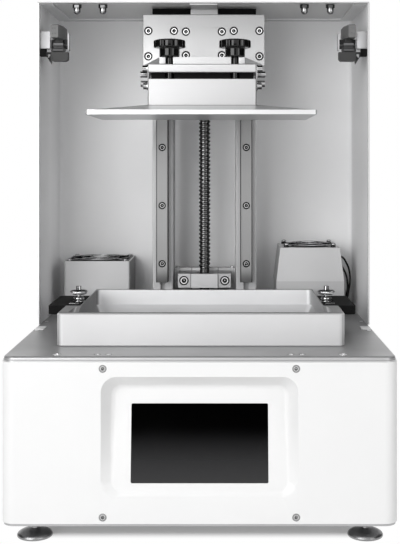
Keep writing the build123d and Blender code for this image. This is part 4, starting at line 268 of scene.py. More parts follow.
def tube(path, radius, sides=8, closed=False):
    """Rings of a round wire: point = path + radius * (cos a * side + sin a * up), square to the path."""
    path = np.asarray(path, float)
    if closed:
        tangent = np.roll(path, -1, axis=0) - np.roll(path, 1, axis=0)
    else:
        tangent = np.gradient(path, axis=0)
    tangent /= np.linalg.norm(tangent, axis=1, keepdims=True)
    side = np.cross(tangent, (0.0, 0.0, 1.0))
    side /= np.linalg.norm(side, axis=1, keepdims=True)
    up = np.cross(side, tangent)
    angle = np.linspace(0, TURN, sides, endpoint=False)[None, :, None]
    return path[:, None] + radius * (np.cos(angle) * side[:, None] + np.sin(angle) * up[:, None])


def capped(rings, **sheet):
    """A closed surface from rings of points: a ring shrunk to its middle is added at each end."""
    ends = np.repeat(rings[[0, -1]].mean(axis=1, keepdims=True), rings.shape[1], axis=1)
    return Sheet(np.concatenate([ends[:1], rings, ends[1:]]), **sheet)


def slab(low, high):
    """A box between two corners: its four lower corners and its four upper ones as two rings, capped."""
    (left, front, foot), (right, back, top) = low, high
    outline = [(right, front), (right, back), (left, back), (left, front)]
    return capped(np.array([[(x, y, z) for x, y in outline] for z in (foot, top)]))


# ---- Shader nodes ----

def add(tree, kind, inputs=(), output=0, **settings):
    """Adds a node with its settings and inputs, and gives back one of its outputs."""
    node = tree.nodes.new(kind)
    for name, value in settings.items():
        setattr(node, name, value)
    feed(node, inputs)
    return Value(node, output)


def feed(node, inputs):
    """Gives a node its inputs, each a plain number or colour, or a Value that is linked to it."""
    for name, value in dict(inputs).items():
        if isinstance(value, Value):
            node.id_data.links.new(value.socket, node.inputs[name])
        else:
            node.inputs[name].default_value = value


class Value:
    """A node's output. *, + and - join it to a number or another value through a Math node."""

    def __init__(self, node, output=0):
        self.node, self.tree = node, node.id_data
        self.socket = node.outputs[output]

    def other(self, output):
        """Another output of the same node."""
        return Value(self.node, output)

    def calculated(self, operation, *others):
        """The result of a Math node."""
        return add(self.tree, "ShaderNodeMath", enumerate((self, *others)), operation=operation)

    def __mul__(self, other):
        return self.calculated("MULTIPLY", other)

    def __add__(self, other):
        return self.calculated("ADD", other)

    def __sub__(self, other):
        return self.calculated("SUBTRACT", other)

    def larger(self, other):
        """The larger of two values."""
        return self.calculated("MAXIMUM", other)

    def size(self):
        """The value without its sign."""
        return self.calculated("ABSOLUTE")

    def near(self, edge, offset, reach):
        """1 within reach of the place at an offset from an edge, both in millimetres, and 0 elsewhere."""
        return self.calculated("COMPARE", edge + offset * MM, reach * MM)

    def ramp(self, start, end, first, last, kind="LINEAR"):
        """first before start, last after end, and a steady or smooth change between them."""
        inputs = {"Value": self, "From Min": start, "From Max": end, "To Min": first, "To Max": last}
        return add(self.tree, "ShaderNodeMapRange", inputs, interpolation_type=kind)

    def past(self, edge, start, end, first, last, kind="LINEAR"):
        """A ramp whose start and end are in millimetres from an edge."""
        return self.ramp(edge + start * MM, edge + end * MM, first, last, kind)

    def scaled(self, tone):
        """A colour times a tone."""
        return add(self.tree, "ShaderNodeVectorMath", {0: self, "Scale": tone}, operation="SCALE")


def split(tree, source, output):
    """The three axes of a vector that a new node puts out."""
    axes = add(tree, "ShaderNodeSeparateXYZ", {"Vector": add(tree, source, output=output)})
    return [axes.other(letter) for letter in "XYZ"]


def place(tree):
    """The three coordinates of a point on the object."""
    return split(tree, "ShaderNodeTexCoord", "Object")


def looking(tree):
    """The three axes of the direction that a face looks in."""
    return split(tree, "ShaderNodeNewGeometry", "Normal")


def mixed(factor, first, second):
    """A colour between two colours."""
    inputs = {"Factor": factor, "A": first, "B": second}
    return add(factor.tree, "ShaderNodeMix", inputs, "Result", data_type="RGBA")


def new_group(name, setting, default, output):
    """A shader group with a vector and one setting, which are given back with it, and one number put out."""
    group = bpy.data.node_groups.new(name, "ShaderNodeTree")
    kind = "NodeSocketVector" if isinstance(default, tuple) else "NodeSocketFloat"
    group.interface.new_socket(name="Vector", in_out="INPUT", socket_type="NodeSocketVector")
    group.interface.new_socket(name=setting, in_out="INPUT", socket_type=kind).default_value = default
    group.interface.new_socket(name=output, in_out="OUTPUT", socket_type="NodeSocketFloat")
    vector = add(group, "NodeGroupInput", output="Vector")
    return group, vector, vector.other(setting)


def put_out(value):
    """Ends a group with the value that it puts out."""
    feed(value.tree.nodes.new("NodeGroupOutput"), {0: value})
    return value.tree


def grain_group():
    """Grain: fine noise for a bump, mixed from two sizes so that it does not look regular."""
    group, vector, scale = new_group("Fine Grain", "Scale", 900.0, "Height")
    fine = add(group, "ShaderNodeTexNoise", {"Vector": vector, "Scale": scale, "Detail": 3.0})
    coarse = add(group, "ShaderNodeTexNoise", {"Vector": vector, "Scale": scale * 0.31, "Detail": 1.0})
    return put_out(add(group, "ShaderNodeMix", {"Factor": 0.35, "A": fine, "B": coarse}, "Result"))


def streak_group():
    """Streaks: noise drawn out along one direction, as grinding and milling leave it."""
    group, vector, stretch = new_group("Tool Streaks", "Stretch", (1.0, 1.0, 1.0), "Mask")
    drawn = add(group, "ShaderNodeVectorMath", {0: vector, 1: stretch}, operation="MULTIPLY")
    noise = {"Vector": drawn, "Scale": 1.0, "Detail": 4.0, "Roughness": 0.65}
    return put_out(add(group, "ShaderNodeTexNoise", noise))


def cloud_group():
    """Clouds: a slow, soft change over the surface, for colour and gloss that are never quite even."""
    group, vector, scale = new_group("Soft Clouds", "Scale", 9.0, "Mask")
    noise = add(group, "ShaderNodeTexNoise", {"Vector": vector, "Scale": scale, "Detail": 4.0})
    return put_out(noise.ramp(0.3, 0.7, 0.0, 1.0))


def smoothing_group():
    """A geometry group that merges a node's loose triangles and shades it smooth below the crease angle."""
    group = bpy.data.node_groups.new("Merge And Smooth", "GeometryNodeTree")
    for in_out in ("INPUT", "OUTPUT"):
        group.interface.new_socket(name="Geometry", in_out=in_out, socket_type="NodeSocketGeometry")
    given = add(group, "NodeGroupInput")
    merged = add(group, "GeometryNodeMergeByDistance", {"Geometry": given, "Distance": MERGE})
    angle = add(group, "GeometryNodeInputMeshEdgeAngle", output="Unsigned Angle")
    flat = add(group, "FunctionNodeCompare", {"A": angle, "B": CREASE}, operation="LESS_EQUAL")
    faces = add(group, "GeometryNodeSetShadeSmooth", {"Geometry": merged}, domain="FACE")
    smooth = {"Geometry": faces, "Shade Smooth": flat}
    return put_out(add(group, "GeometryNodeSetShadeSmooth", smooth, domain="EDGE"))


def shared(name, vector, **values):
    """What a shared group puts out where a material places it with its own values."""
    return add(vector.tree, "ShaderNodeGroup", {"Vector": vector, **values}, node_tree=GROUPS[name])


# ---- Finishes ----

@dataclass
class Finish:
    """How a surface looks: its colour and how much that wanders, its gloss, and its grain or tool streaks.

    depth is the grain's in millimetres. tone is a function that works out, in the material's tree, what the
    colour is multiplied by. more holds other inputs of the shader.
    """

    colour: tuple
    roughness: float = 0.4
    metallic: float = 0.0
    clouds: float = 0.04
    cloud_scale: float = 9.0
    gloss_wander: float = 0.06
    grain: float = 900.0
    depth: float = 0.01
    streaks: tuple = None
    streak_tone: float = 0.08
    specular: float = 0.5
    edge_tint: float = 1.0
    tone: Callable = None
    more: dict = field(default_factory=dict)


def grey(value, blue=0.0):
    """A grey, with a little more blue where given."""
    return value, value, value + blue


def tinted(colour, amount):
    """A colour made lighter or darker by a share, kept within 0 to 1."""
    return tuple(min(1.0, max(0.0, channel * (1 + amount))) for channel in colour) + (1.0,)


def node_material(name):
    """A new material, its tree and its shader."""
    material = bpy.data.materials.new(name)
    material.use_nodes = True
    return material, material.node_tree, material.node_tree.nodes["Principled BSDF"]


def finish_material(name, finish):
    """Makes a finish: clouds and streaks tint it and change its gloss, grain and streaks raise its bump."""
    material, tree, shader = node_material(name)
    vector = add(tree, "ShaderNodeTexCoord", output="Object")
    gloss = shared("clouds", vector, Scale=finish.cloud_scale)
    height = shared("grain", vector, Scale=finish.grain)
    colour = mixed(gloss, tinted(finish.colour, -finish.clouds), tinted(finish.colour, finish.clouds))
    if finish.streaks:
        gloss = shared("streaks", vector, Stretch=finish.streaks)
        colour = colour.scaled(gloss.ramp(0.0, 1.0, 1.0 - finish.streak_tone, 1.0))
        height = height.calculated("MULTIPLY_ADD", 0.4, gloss)
    # Most tones paint light and shade into the colour.
    if finish.tone:
        colour = colour.scaled(finish.tone(tree))
    dull, bright = finish.roughness + finish.gloss_wander, max(0.02, finish.roughness - finish.gloss_wander)
    feed(shader, {
        "Base Color": colour,
        "Metallic": finish.metallic,
        "Roughness": gloss.ramp(0.0, 1.0, dull, bright),
        "Normal": add(tree, "ShaderNodeBump", {"Distance": finish.depth * MM, "Height": height}),
        "Specular IOR Level": finish.specular,
        "Specular Tint": (*[finish.edge_tint] * 3, 1.0),
        **finish.more,
    })
    return material


def forward(tree, front, rest):
    """One tone where a face looks forward, and another elsewhere."""
    return looking(tree)[1].ramp(-0.9, -0.6, front, rest)


def tower_painted_light(tree):
    """Painted shade: dark lines down the inner corners of the tower's front edges and down the right one's
    outer corner, darker faces that look down or left, and a left wall that darkens to the front; painted
    light: a paler strip of back wall behind the lift."""
    low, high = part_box("tower_shell")
    x, y, _ = place(tree)
    look_x, _, look_z = looking(tree)
    lines = x.size().past(high.x, -1.9, -1.7, 0.2, 1.0) * x.past(high.x, -1.0, -0.8, 1.0, 0.06)
    edges = lines.larger(y.past(low.y, 0.4, 0.9, 0.0, 1.0)) * look_z.ramp(-0.9, -0.6, 0.78, 1.0)
    left_wall = look_x.ramp(0.8, 0.95, 0.0, 1.0) * x.past(0, -100, 0, 1.0, 0.0)
    shade = y.past(low.y, 0, 80, 0.26, 0.0) * left_wall
    paler = x.size().past(0, 30, 55, 1.0, 0.0, "SMOOTHSTEP") * forward(tree, 0.1, 0.0)
    return edges * (look_x.ramp(-0.95, -0.8, 0.86, 1.0) - shade) * (paler + 1.0)


def panel_painted_shade(tree):
    """Painted shade: a darker underside, and a dark line along the foot of the panel's front edge."""
    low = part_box("top_panel")[0]
    _, y, z = place(tree)
    line = z.past(low.z, 0.7, 0.9, 0.25, 1.0).larger(y.past(low.y, 0.4, 0.9, 0.0, 1.0))
    return z.past(low.z, 0.1, 0.3, 0.8, 1.0) * line


def vat_painted_light(tree):
    """Painted shade: the vat's upward faces and its side walls' insides darker; painted light: all behind its
    front wall paler.
    """
    low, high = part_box("vat_frame")
    x, y, _ = place(tree)
    look_x, _, look_z = looking(tree)
    inner = look_x.ramp(0.5, 0.85, 1.0, 0.3) * look_x.ramp(-0.85, -0.5, 0.55, 1.0)
    walls = inner.larger(x.size().past(high.x, -3, -2, 0.0, 1.0)) * y.past(low.y, 3, 9, 1.0, 1.4)
    return walls * look_z.ramp(0.8, 0.95, 1.0, 0.42)


def hinge_bands_and_painted_shade(tree):
    """A bright mounting flange, with a painted shade that darkens it towards the wall, and a bright end
    plate; dark bands with two bright strips between them.
    """
    low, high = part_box("hinge_bracket_right")
    x, _, z = place(tree)
    side = x.size()
    strips = z.near(low.z, 9.8, 0.9) * 0.22 + z.near(low.z, 2.4, 1.3) * 0.15
    inside = z.past(low.z, 10.6, 11.0, 0.07, 0.02).larger(strips)
    flange = side.past(high.x, -12.8, -12.4, 0.0, 1.0) * side.past(high.x, -10, 0, 0.95, 0.42)
    return flange.larger(side.past(low.x, 2.0, 2.4, 0.8, 0.0)).larger(inside)


def cup_painted_shade(tree):
    """The cup's plate as it is, and its open end darker: a painted shade inside the open cup."""
    return place(tree)[0].size().past(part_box("hinge_cup_right")[1].x, -6.4, -6.0, 1.0, 0.12)


def box_painted_shade(tree):
    """Painted shade: the fan box's inward side darker, as it stands close to the column."""
    return looking(tree)[0].ramp(0.5, 0.9, 1.0, 0.4)


def block_painted_shade(tree):
    """Painted shade: dark lines down the ends of the front faces, where the corners are broken."""
    lines = place(tree)[0].size().past(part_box("platform_block")[1].x, -1.2, -0.8, 1.0, 0.4)
    return lines.larger(forward(tree, 0.0, 1.0))


def deck_painted_light(tree):
    """Painted light: the deck's top paler towards the front and its front faces paler; painted shade: a dark
    line between its layers.
    """
    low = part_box("deck_plate")[0]
    _, y, z = place(tree)
    return y.past(low.y, 0, 45, 1.05, 0.92) * forward(tree, 1.15, 1.0) - z.near(low.z, 0, 0.35) * 0.45


def plate_painted_light(tree):
    """A painted highlight that makes the build plate's front edge brighter, with a painted shade line along
    its top.
    """
    return forward(tree, 1.35, 1.0) * place(tree)[2].past(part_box("build_plate")[1].z, -2, -1.4, 1.0, 0.5)


def bearing_painted_shade(tree):
    """Painted shade: the bearing's top dark, and its middle block brighter than its ears, with a dark line on
    each side.
    """
    side = place(tree)[0].size()
    front = side.past(BEARING_BLOCK, -0.2, 0, 1.0, 0.86) - side.near(BEARING_BLOCK, 0, 0.5) * 0.6
    return front * looking(tree)[2].ramp(0.8, 0.95, 1.0, 0.3)


def carriage_painted_shade(tree):
    """The carriage plate darker towards its top: a painted shade under the tower's ceiling."""
    low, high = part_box("carriage_plate")
    return place(tree)[2].ramp(low.z, high.z, 1.0, 0.55, "SMOOTHSTEP")


def nut_painted_shade(tree):
    """The cap nuts darker towards the panel over them: a painted shade."""
    return place(tree)[2].past(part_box("cap_nuts")[0].z, 4.5, 7.5, 1.0, 0.28, "SMOOTHSTEP")


def screw_painted_shade(tree):
    """The screws' painted shade lifted on the casing's front, so that those screws show bright all over, and
    kept black on the others.
    """
    return place(tree)[1].past(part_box("base_shell")[0].y, 3, 5, 14.0, 1.0)


def duct_painted_shade(tree):
    """Painted shade: the duct's straight lower band a little darker, with a thin fold line above it."""
    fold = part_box("duct_right")[0].z + DUCT_FOLD
    height = place(tree)[2]
    return height.past(fold, -0.2, 0.2, 0.86, 1.0) - height.near(fold, 0, 0.5) * 0.08


def rail_tone(tree):
    """Painted shade: dark bevels along the rails' sides; and feet darker towards the bottom."""
    low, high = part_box("linear_rails")
    x, _, z = place(tree)
    off = (x.size() - (high.x - RAIL_WIDTH / 2)).size()
    return off.past(RAIL_WIDTH / 2, -1.3, -0.9, 1.0, 0.12) * z.past(low.z, 0, 20, 0.3, 1.0, "SMOOTHSTEP")


def screen_painted_reflection(tree):
    """Painted reflection: the display pitch black at the top, and a little lighter towards its lower edge."""
    low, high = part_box("touch_screen")
    height = high.z - low.z
    return place(tree)[2].ramp(low.z + 0.2 * height, low.z + 0.72 * height, 1.0, 0.03125, "SMOOTHSTEP")


# ---- Settings ----

def kind_of(maker, **limits):
    """A kind of setting that the user can change: it takes a name, a description and a default."""
    return lambda name, description, default: maker(
        name=name, description=description, default=default, **limits)


colour_of = kind_of(bpy.props.FloatVectorProperty, subtype="COLOR", size=3, min=0.0, max=1.0)
length_of = kind_of(bpy.props.FloatProperty, unit="LENGTH", min=0.0)
share_of = kind_of(bpy.props.FloatProperty, subtype="FACTOR", min=0.1, max=0.8)
count_of = kind_of(bpy.props.IntProperty, min=1, max=200)
power_of = kind_of(bpy.props.FloatProperty, unit="POWER", min=0.0)
strength_of = kind_of(bpy.props.FloatProperty, min=0.0)


class PrinterColours(bpy.types.PropertyGroup):
    """Colours of the printer's finishes."""

    enamel: colour_of("Enamel", "Smooth white enamel of the base and the top", grey(0.72))
    chamber: colour_of("Chamber", "Silver-grey powder coat of the tower", grey(0.9, 0.005))
    deck: colour_of("Deck", "Bead-blasted, anodised deck", grey(0.36, 0.004))
    machined: colour_of("Machined", "Bright milled aluminium", grey(0.62, 0.005))
    ground: colour_of("Ground steel", "Ground steel of the rails", grey(0.31))
    plated: colour_of("Plated", "Bright plated steel", grey(0.75, 0.01))
    black_oxide: colour_of("Black oxide", "Blackened steel of the lift screw", grey(0.13))
    black_anodised: colour_of("Black anodised", "Black aluminium of clamps and beam", grey(0.005))
    black_gloss: colour_of("Knob black", "Glossy black plastic", grey(0.004))
    dark_plastic: colour_of("Dark plastic", "Dark grey moulded plastic", grey(0.13))


class LiftScrewSizes(bpy.types.PropertyGroup):
    """Sizes of the lift screw's thread."""

    pitch: length_of("Pitch", "Rise of the thread in one turn", 5 * MM)
    groove_depth: length_of("Groove depth", "Depth of the ball groove under the crest", 1.4 * MM)
    crest_share: share_of("Crest share", "Share of the pitch that the flat crest takes", 0.34)


class KnobSizes(bpy.types.PropertyGroup):
    """Sizes of the clamping knobs."""

    lobes: count_of("Lobes", "Number of lobes round the head", 8)
    lobe_depth: length_of("Lobe depth", "Depth of the hollows between the lobes", 1.7 * MM)
    edge: length_of("Edge", "Rounding of the head's edges", 1.6 * MM)


class ThumbScrewSizes(bpy.types.PropertyGroup):
    """Sizes of the milled thumb screws."""

    ridges: count_of("Ridges", "Number of milled ridges round the disc", 36)
    ridge_depth: length_of("Ridge depth", "Depth of the milling", 0.25 * MM)


class FanSizes(bpy.types.PropertyGroup):
    """Sizes of the fans."""

    blades: count_of("Blades", "Number of blades on a fan", 7)
    wires: count_of("Wires", "Number of rings in a finger guard", 3)


class FastenerSizes(bpy.types.PropertyGroup):
    """Sizes of the socket-head screws."""

    key_share: share_of("Key share", "Width of the key as a share of the head's", 0.5)


class StageSettings(bpy.types.PropertyGroup):
    """Lamps, floor and camera."""

    key_power: power_of("Key", "Power of the main lamp", 45.0)
    fill_power: power_of("Fill", "Power of the side lamp", 13.0)
    top_power: power_of("Top", "Power of the top lamp", 8.0)
    ambient: strength_of("Ambient", "Strength of the light from all round", 0.44)
    camera_height: length_of("Camera height", "Height of the camera over the floor", 0.3848)
    camera_distance: length_of("Camera distance", "Distance from the camera to the base's middle", 1.252)
    camera_side: length_of("Camera side", "Offset of the camera to the right", 0.0246)


# ---- Finishes of the nodes ----

def make_materials(colours):
    """All finishes, by name."""
    def own(name):
        return tuple(getattr(colours, name))

    enamel = Finish(own("enamel"), 0.38, clouds=0.006, gloss_wander=0.03, grain=700, depth=0.02)
    coat = Finish(own("chamber"), 0.5, clouds=0.02, gloss_wander=0.04, grain=1800, depth=0.03)
    milled = Finish(grey(0.58, 0.005), 0.36, 0.75, 0.02, streaks=(26, 1400, 2600), streak_tone=0.06)
    chrome = Finish(grey(0.58, 0.005), 0.1, 1.0, 0.08, 60, grain=1500, edge_tint=0.0)
    moulded = Finish(own("dark_plastic"), 0.5, clouds=0.08, grain=1800, depth=0.04)
    # Without names: colour, roughness, metallic, clouds and the clouds' scale.
    looks = {
        "enamel": enamel,
        "panel_enamel": replace(enamel, tone=panel_painted_shade),
        "tower_coat": replace(coat, roughness=0.55, tone=tower_painted_light),
        # The box and the duct wear darker copies of the chamber's coat: a painted shade.
        "box_coat": replace(coat, colour=grey(0.53, 0.005), tone=box_painted_shade),
        "duct_coat": replace(coat, colour=grey(0.57, 0.005), tone=duct_painted_shade),
        "deck_anodised": Finish(own("deck"), 0.42, 0.6, 0.03, grain=2600, depth=0.03, tone=deck_painted_light),
        "cast_vat": Finish(grey(0.62, 0.005), 0.52, 0.6, 0.03, grain=2400, depth=0.03, edge_tint=0.45,
                           tone=vat_painted_light),
        "edge_aluminium": Finish(own("machined"), 0.3, 1.0, 0.02, streaks=(40, 40, 2600)),
        "milled_across": replace(milled, tone=block_painted_shade),
        "bearing_face": replace(milled, colour=grey(0.62, 0.005), roughness=0.38, tone=bearing_painted_shade),
        "carriage_face": Finish(grey(0.66, 0.005), 0.4, 0.7, 0.03, streaks=(2200, 1400, 26),
                                streak_tone=0.07, tone=carriage_painted_shade),
        "plate_anodised": Finish(grey(0.61, 0.005), 0.34, 0.8, 0.03, streaks=(6, 1500, 1500),
                                 streak_tone=0.06, tone=plate_painted_light),
        "rail_steel": Finish(own("ground"), 0.42, 0.5, 0.03, streaks=(2600, 2600, 14), streak_tone=0.1,
                             tone=rail_tone),
        "column_anodised": Finish(grey(0.5, 0.005), 0.45, 0.4, 0.03, streaks=(1500, 1500, 6),
                                  streak_tone=0.06),
        "plate_steel": Finish(grey(0.45, 0.005), 0.4, 0.8, streaks=(900, 14, 900)),
        "plated": Finish(own("plated"), 0.2, 1.0, 0.03, grain=1500, edge_tint=0.0),
        "plated_face": Finish(grey(0.92, 0.005), 0.4, 0.8, 0.05, 160, grain=1500),
        "dark_chrome": replace(chrome, gloss_wander=0.03),
        "nut_steel": replace(chrome, colour=grey(0.4, 0.003), roughness=0.16, tone=nut_painted_shade),
        "foot_metal": Finish(grey(0.27, 0.003), 0.36, 0.95, 0.1, 60, grain=1500),
        "screw_shade": Finish(grey(0.02), 0.4, 0.6, 0.1, 160, specular=0.2, tone=screw_painted_shade),
        "hinge_steel": Finish(grey(0.56, 0.01), 0.5, 0.2, 0.04, 60, tone=hinge_bands_and_painted_shade),
        "galvanised": Finish(grey(0.5, 0.01), 0.42, 0.9, 0.12, 90),
        "black_oxide": Finish(own("black_oxide"), 0.24, 1.0, 0.15, 60),
        "black_anodised": Finish(own("black_anodised"), 0.75, clouds=0.08, specular=0.1, grain=3000,
                                 depth=0.03),
        "black_gloss": Finish(own("black_gloss"), 0.14, clouds=0.1, specular=0.4, grain=600),
        "dark_plastic": moulded,
        "cup_plastic": replace(moulded, colour=grey(0.042), specular=0.2, tone=cup_painted_shade),
        "black_plastic": Finish(grey(0.012), 0.45, clouds=0.1, specular=0.3, grain=1600, depth=0.04),
        "lead_sheath": Finish(grey(0.006), 0.5, 0.0, 0.1, 300, specular=0.2, grain=2500),
        "white_plastic": Finish(grey(0.8), 0.4, clouds=0.02),
        "board_green": Finish((0.02, 0.09, 0.04), 0.35, 0.0, 0.15, 80,
                              more={"Coat Weight": 0.3, "Coat Roughness": 0.12}),
        "mask_glass": Finish(grey(0.02, 0.005), 0.1, clouds=0.02, depth=0.0),
        "screen_glass": Finish(grey(0.016, 0.001), 0.06, clouds=0.0, gloss_wander=0.02, depth=0.0,
                               tone=screen_painted_reflection),
        "release_film": Finish((0.75, 0.77, 0.8), 0.18, depth=0.002,
                               more={"Transmission Weight": 0.6, "IOR": 1.34}),
    }
    for name, look in looks.items():
        MATERIALS[name] = finish_material(name, look)


def dress(material, *nodes, edge=0.0):
    """Gives CAD nodes a finish, smooth shading and, where edge is set, edges broken to that many mm."""
    for name in nodes:
        node = NODES[name]
        node.data.materials.clear()
        node.data.materials.append(MATERIALS[material])
        if edge:
            node.modifiers.new("Merge", "WELD").merge_threshold = MERGE
            break_edges(node, edge * MM, 2)
        node.modifiers.new("Smooth", "NODES").node_group = GROUPS["smoothing"]
        flat = node.modifiers.new("Flat Faces", "WEIGHTED_NORMAL")
        flat.weight = 100
        flat.keep_sharp = True


# ---- Pieces ----

class PrinterOperator(bpy.types.Operator):
    """Shared options of the printer's operators."""

    bl_options = {"REGISTER", "UNDO"}


class PRINTER_OT_materials(PrinterOperator):
    """Make the shader groups and every finish"""

    bl_idname = "printer.materials"
    bl_label = "Make Finishes"

    def execute(self, context):
        GROUPS.update(grain=grain_group(), streaks=streak_group(), clouds=cloud_group())
        GROUPS["smoothing"] = smoothing_group()
        make_materials(context.scene.printer_colours)
        return {"FINISHED"}


class PRINTER_OT_casing(PrinterOperator):
    """Finish the base, its deck and the tower"""

    bl_idname = "printer.casing"
    bl_label = "Casing and Tower"

    def execute(self, context):
        dress("enamel", "base_shell", edge=0.6)
        dress("panel_enamel", "top_panel", edge=0.3)
        dress("white_plastic", "cover_pads")
        dress("tower_coat", "tower_shell", edge=0.4)
        dress("deck_anodised", "deck_plate")
        dress("edge_aluminium", "deck_frame")
        dress("plate_steel", "bottom_plate")
        dress("screen_glass", "touch_screen")
        dress("mask_glass", "mask_panel")
        return {"FINISHED"}


class PRINTER_OT_lift(PrinterOperator):
    """Finish the columns, rails, bearings and carriage"""

    bl_idname = "printer.lift"
    bl_label = "Lift"

    def execute(self, context):
        dress("column_anodised", "columns")
        dress("rail_steel", "linear_rails", edge=0.3)
        dress("black_anodised", "top_beam", edge=0.4)
        dress("bearing_face", "upper_bearing", "lower_bearing", edge=0.5)
        dress("carriage_face", "carriage_plate", edge=0.3)
        dress("galvanised", "guide_blocks", "ball_nut", edge=0.3)
        dress("milled_across", "arm", edge=0.5)
        dress("plated", "shaft_coupling")
        return {"FINISHED"}


def thread_radius(share, crest, sizes):
    """The thread's radius at a share of the pitch: a flat crest, then a groove shaped as half an ellipse."""
    across = np.clip((share - sizes.crest_share) / (1 - sizes.crest_share), 0, 1)
    return crest - sizes.groove_depth * np.sqrt(np.clip(1 - (2 * across - 1) ** 2, 0, 1))


class PRINTER_OT_lift_screw(PrinterOperator):
    """Cut the lift screw's thread and turn its ends"""

    bl_idname = "printer.lift_screw"
    bl_label = "Lift Screw"

    def execute(self, context):
        sizes = context.scene.printer_screw
        low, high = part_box("ball_screw")
        centre, crest = axis("ball_screw"), half_width("ball_screw")
        thread_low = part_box("lower_bearing")[1].z + 0.4 * MM
        thread_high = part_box("upper_bearing")[0].z - 0.6 * MM
        turns = math.ceil((thread_high - thread_low) / sizes.pitch) + 1
        # Along the helix by angle u and across it by share v of the pitch: point = (r(v) cos u, r(v) sin u,
        # pitch * (u / turn + v)), with the height held between the thread's ends.
        u = np.linspace(-TURN, turns * TURN, (turns + 1) * 40 + 1)[:, None]
        share = np.array([0.0, sizes.crest_share, *np.linspace(sizes.crest_share, 1.0, 9)[1:]])
        height = np.clip(thread_low + sizes.pitch * (u / TURN + share), thread_low, thread_high)
        at_end = (height <= thread_low) | (height >= thread_high)
        radius = np.where(at_end, crest * 0.82, thread_radius(share, crest, sizes))
        thread = Sheet(polar(centre, radius, u, height), ring=False)
        root, journal, end, overlap = crest * 0.84, 6 * MM, 5 * MM, 2 * MM
        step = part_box("shaft_coupling")[1].z + 2 * MM
        low_end = [(0, low.z), (end, low.z), (end, step), (journal, step), (journal, thread_low),
                   (root, thread_low), (root, thread_low + overlap), (0, thread_low + overlap)]
        top_end = [(0, thread_high - overlap), (root, thread_high - overlap), (root, thread_high),
                   (end, thread_high), (end, high.z), (0, high.z)]
        ends = [turned(profile, centre, 48, soft=(0.3 * MM, 2)) for profile in (low_end, top_end)]
        build_piece("lift_screw_thread", [thread, *ends], "lift_screw", ["black_oxide"],
                    ["ball_screw"], crease=50)
        return {"FINISHED"}


class PRINTER_OT_platform(PrinterOperator):
    """Finish the build platform"""

    bl_idname = "printer.platform"
    bl_label = "Build Platform"

    def execute(self, context):
        dress("milled_across", "clamp_bar", "platform_block", edge=0.8)
        dress("black_anodised", "levelling_pad")
        dress("plate_anodised", "build_plate", edge=0.4)
        dress("dark_chrome", "side_links", edge=0.2)
        return {"FINISHED"}


class PRINTER_OT_knobs(PrinterOperator):
    """Shape the lobed clamping knobs"""

    bl_idname = "printer.knobs"
    bl_label = "Knobs"

    def execute(self, context):
        sizes = context.scene.printer_knob
        stud, hub, dome = 3.7, 11.4, 2.3
        hub_low = box_mm("arm")[1].z + 0.3
        for node in ("knob_left", "knob_right"):
            low, top = box_mm(node)[0].z, box_mm(node)[1].z
            width = half_width(node)
            head, head_low = width / MM, top - 10.8

            def lobed(angle, profile):
                """1 on the hub; on the head, less by a hollow depth * cos(lobes * angle)^2 between lobes."""
                hollow = np.clip(np.cos(sizes.lobes * angle + math.pi), 0, 1) ** 2
                on_head = np.clip((profile[:, :1] - 0.75 * width) / (0.25 * width), 0, 1)
                return 1 - on_head * hollow * sizes.lobe_depth / width

            corners = mm((0, low), (stud, low), (stud, hub_low), (hub, hub_low), (hub, head_low),
                         (head, head_low), (head, top - dome), (head * 0.55, top - 0.35 * dome), (0, top))
            knob = turned(corners, axis(node), 192, (sizes.edge, 4), lobed)
            build_piece(f"lobed_{node}", [knob], node, ["black_gloss"], [node], crease=55)
        return {"FINISHED"}


class PRINTER_OT_vat(PrinterOperator):
    """Finish the vat and its film"""

    bl_idname = "printer.vat"
    bl_label = "Vat"

    def execute(self, context):
        dress("cast_vat", "vat_frame", edge=0.6)
        dress("release_film", "film_frame")
        return {"FINISHED"}


class PRINTER_OT_clamps(PrinterOperator):
    """Finish the vat's clamps and turn their thumb screws"""

    bl_idname = "printer.clamps"
    bl_label = "Vat Clamps"

    def execute(self, context):
        sizes = context.scene.printer_thumb_screw
        for hand, inward in (("left", 1), ("right", -1)):
            dress("black_anodised", f"vat_clamp_{hand}", edge=0.4)
            node = f"thumb_screw_{hand}"
            low, high = box_mm(node)
            width = half_width(node)
            disc = width / MM
            plate = box_mm(f"vat_clamp_{hand}")[1].z + 0.1
            collar, neck, cone, stem, cap, stud = 6.9, 4.0, 6.3, 2.5, 3.6, 2.9
            corners = mm(
                (0, low.z), (2.6, low.z), (2.6, plate), (collar, plate), (collar, plate + 1.3),
                (neck, plate + 1.7), (neck, plate + 2.2), (cone, plate + 2.7), (cone, plate + 4.6),
                (5, plate + 6), (stem, plate + 6.4), (stem, plate + 7.8), (6.5, plate + 8.2),
                (disc, plate + 9.6), (disc, plate + 11.9), (disc - 1.3, plate + 13), (cap, plate + 13.3),
                (stud, plate + 13.5), (stud, high.z), (0, high.z))

            def milled(angle, profile):
                """Less than 1 by a cosine ripple on the disc's rim; on the stud, two halves and a slot."""
                rim = np.clip((profile[:, :1] / width - 0.9) / 0.08, 0, 1)
                ripple = rim * (0.5 - 0.5 * np.cos(sizes.ridges * angle)) * sizes.ridge_depth / width
                half = np.clip(np.abs(np.cos(angle)) / 0.34, 0.2, 1)
                return np.where(profile[:, 1:] > (plate + 13.6) * MM, half, 1 - ripple)

            screw = turned(corners, axis(node), 216, (0.3 * MM, 2), milled)
            build_piece(f"milled_{node}", [screw], node, ["dark_chrome"], [node], crease=50)
            centre = axis(node)[0] / MM
            left, right = sorted((centre - inward * 8, centre + inward * 3))
            tab = slab(*mm((left, low.y - 12, plate - 0.5), (right, low.y + 1, plate + 1.2)))
            build_piece(f"clamp_tab_{hand}", [tab], "frame", ["nut_steel"], edge=0.4 * MM)
        return {"FINISHED"}


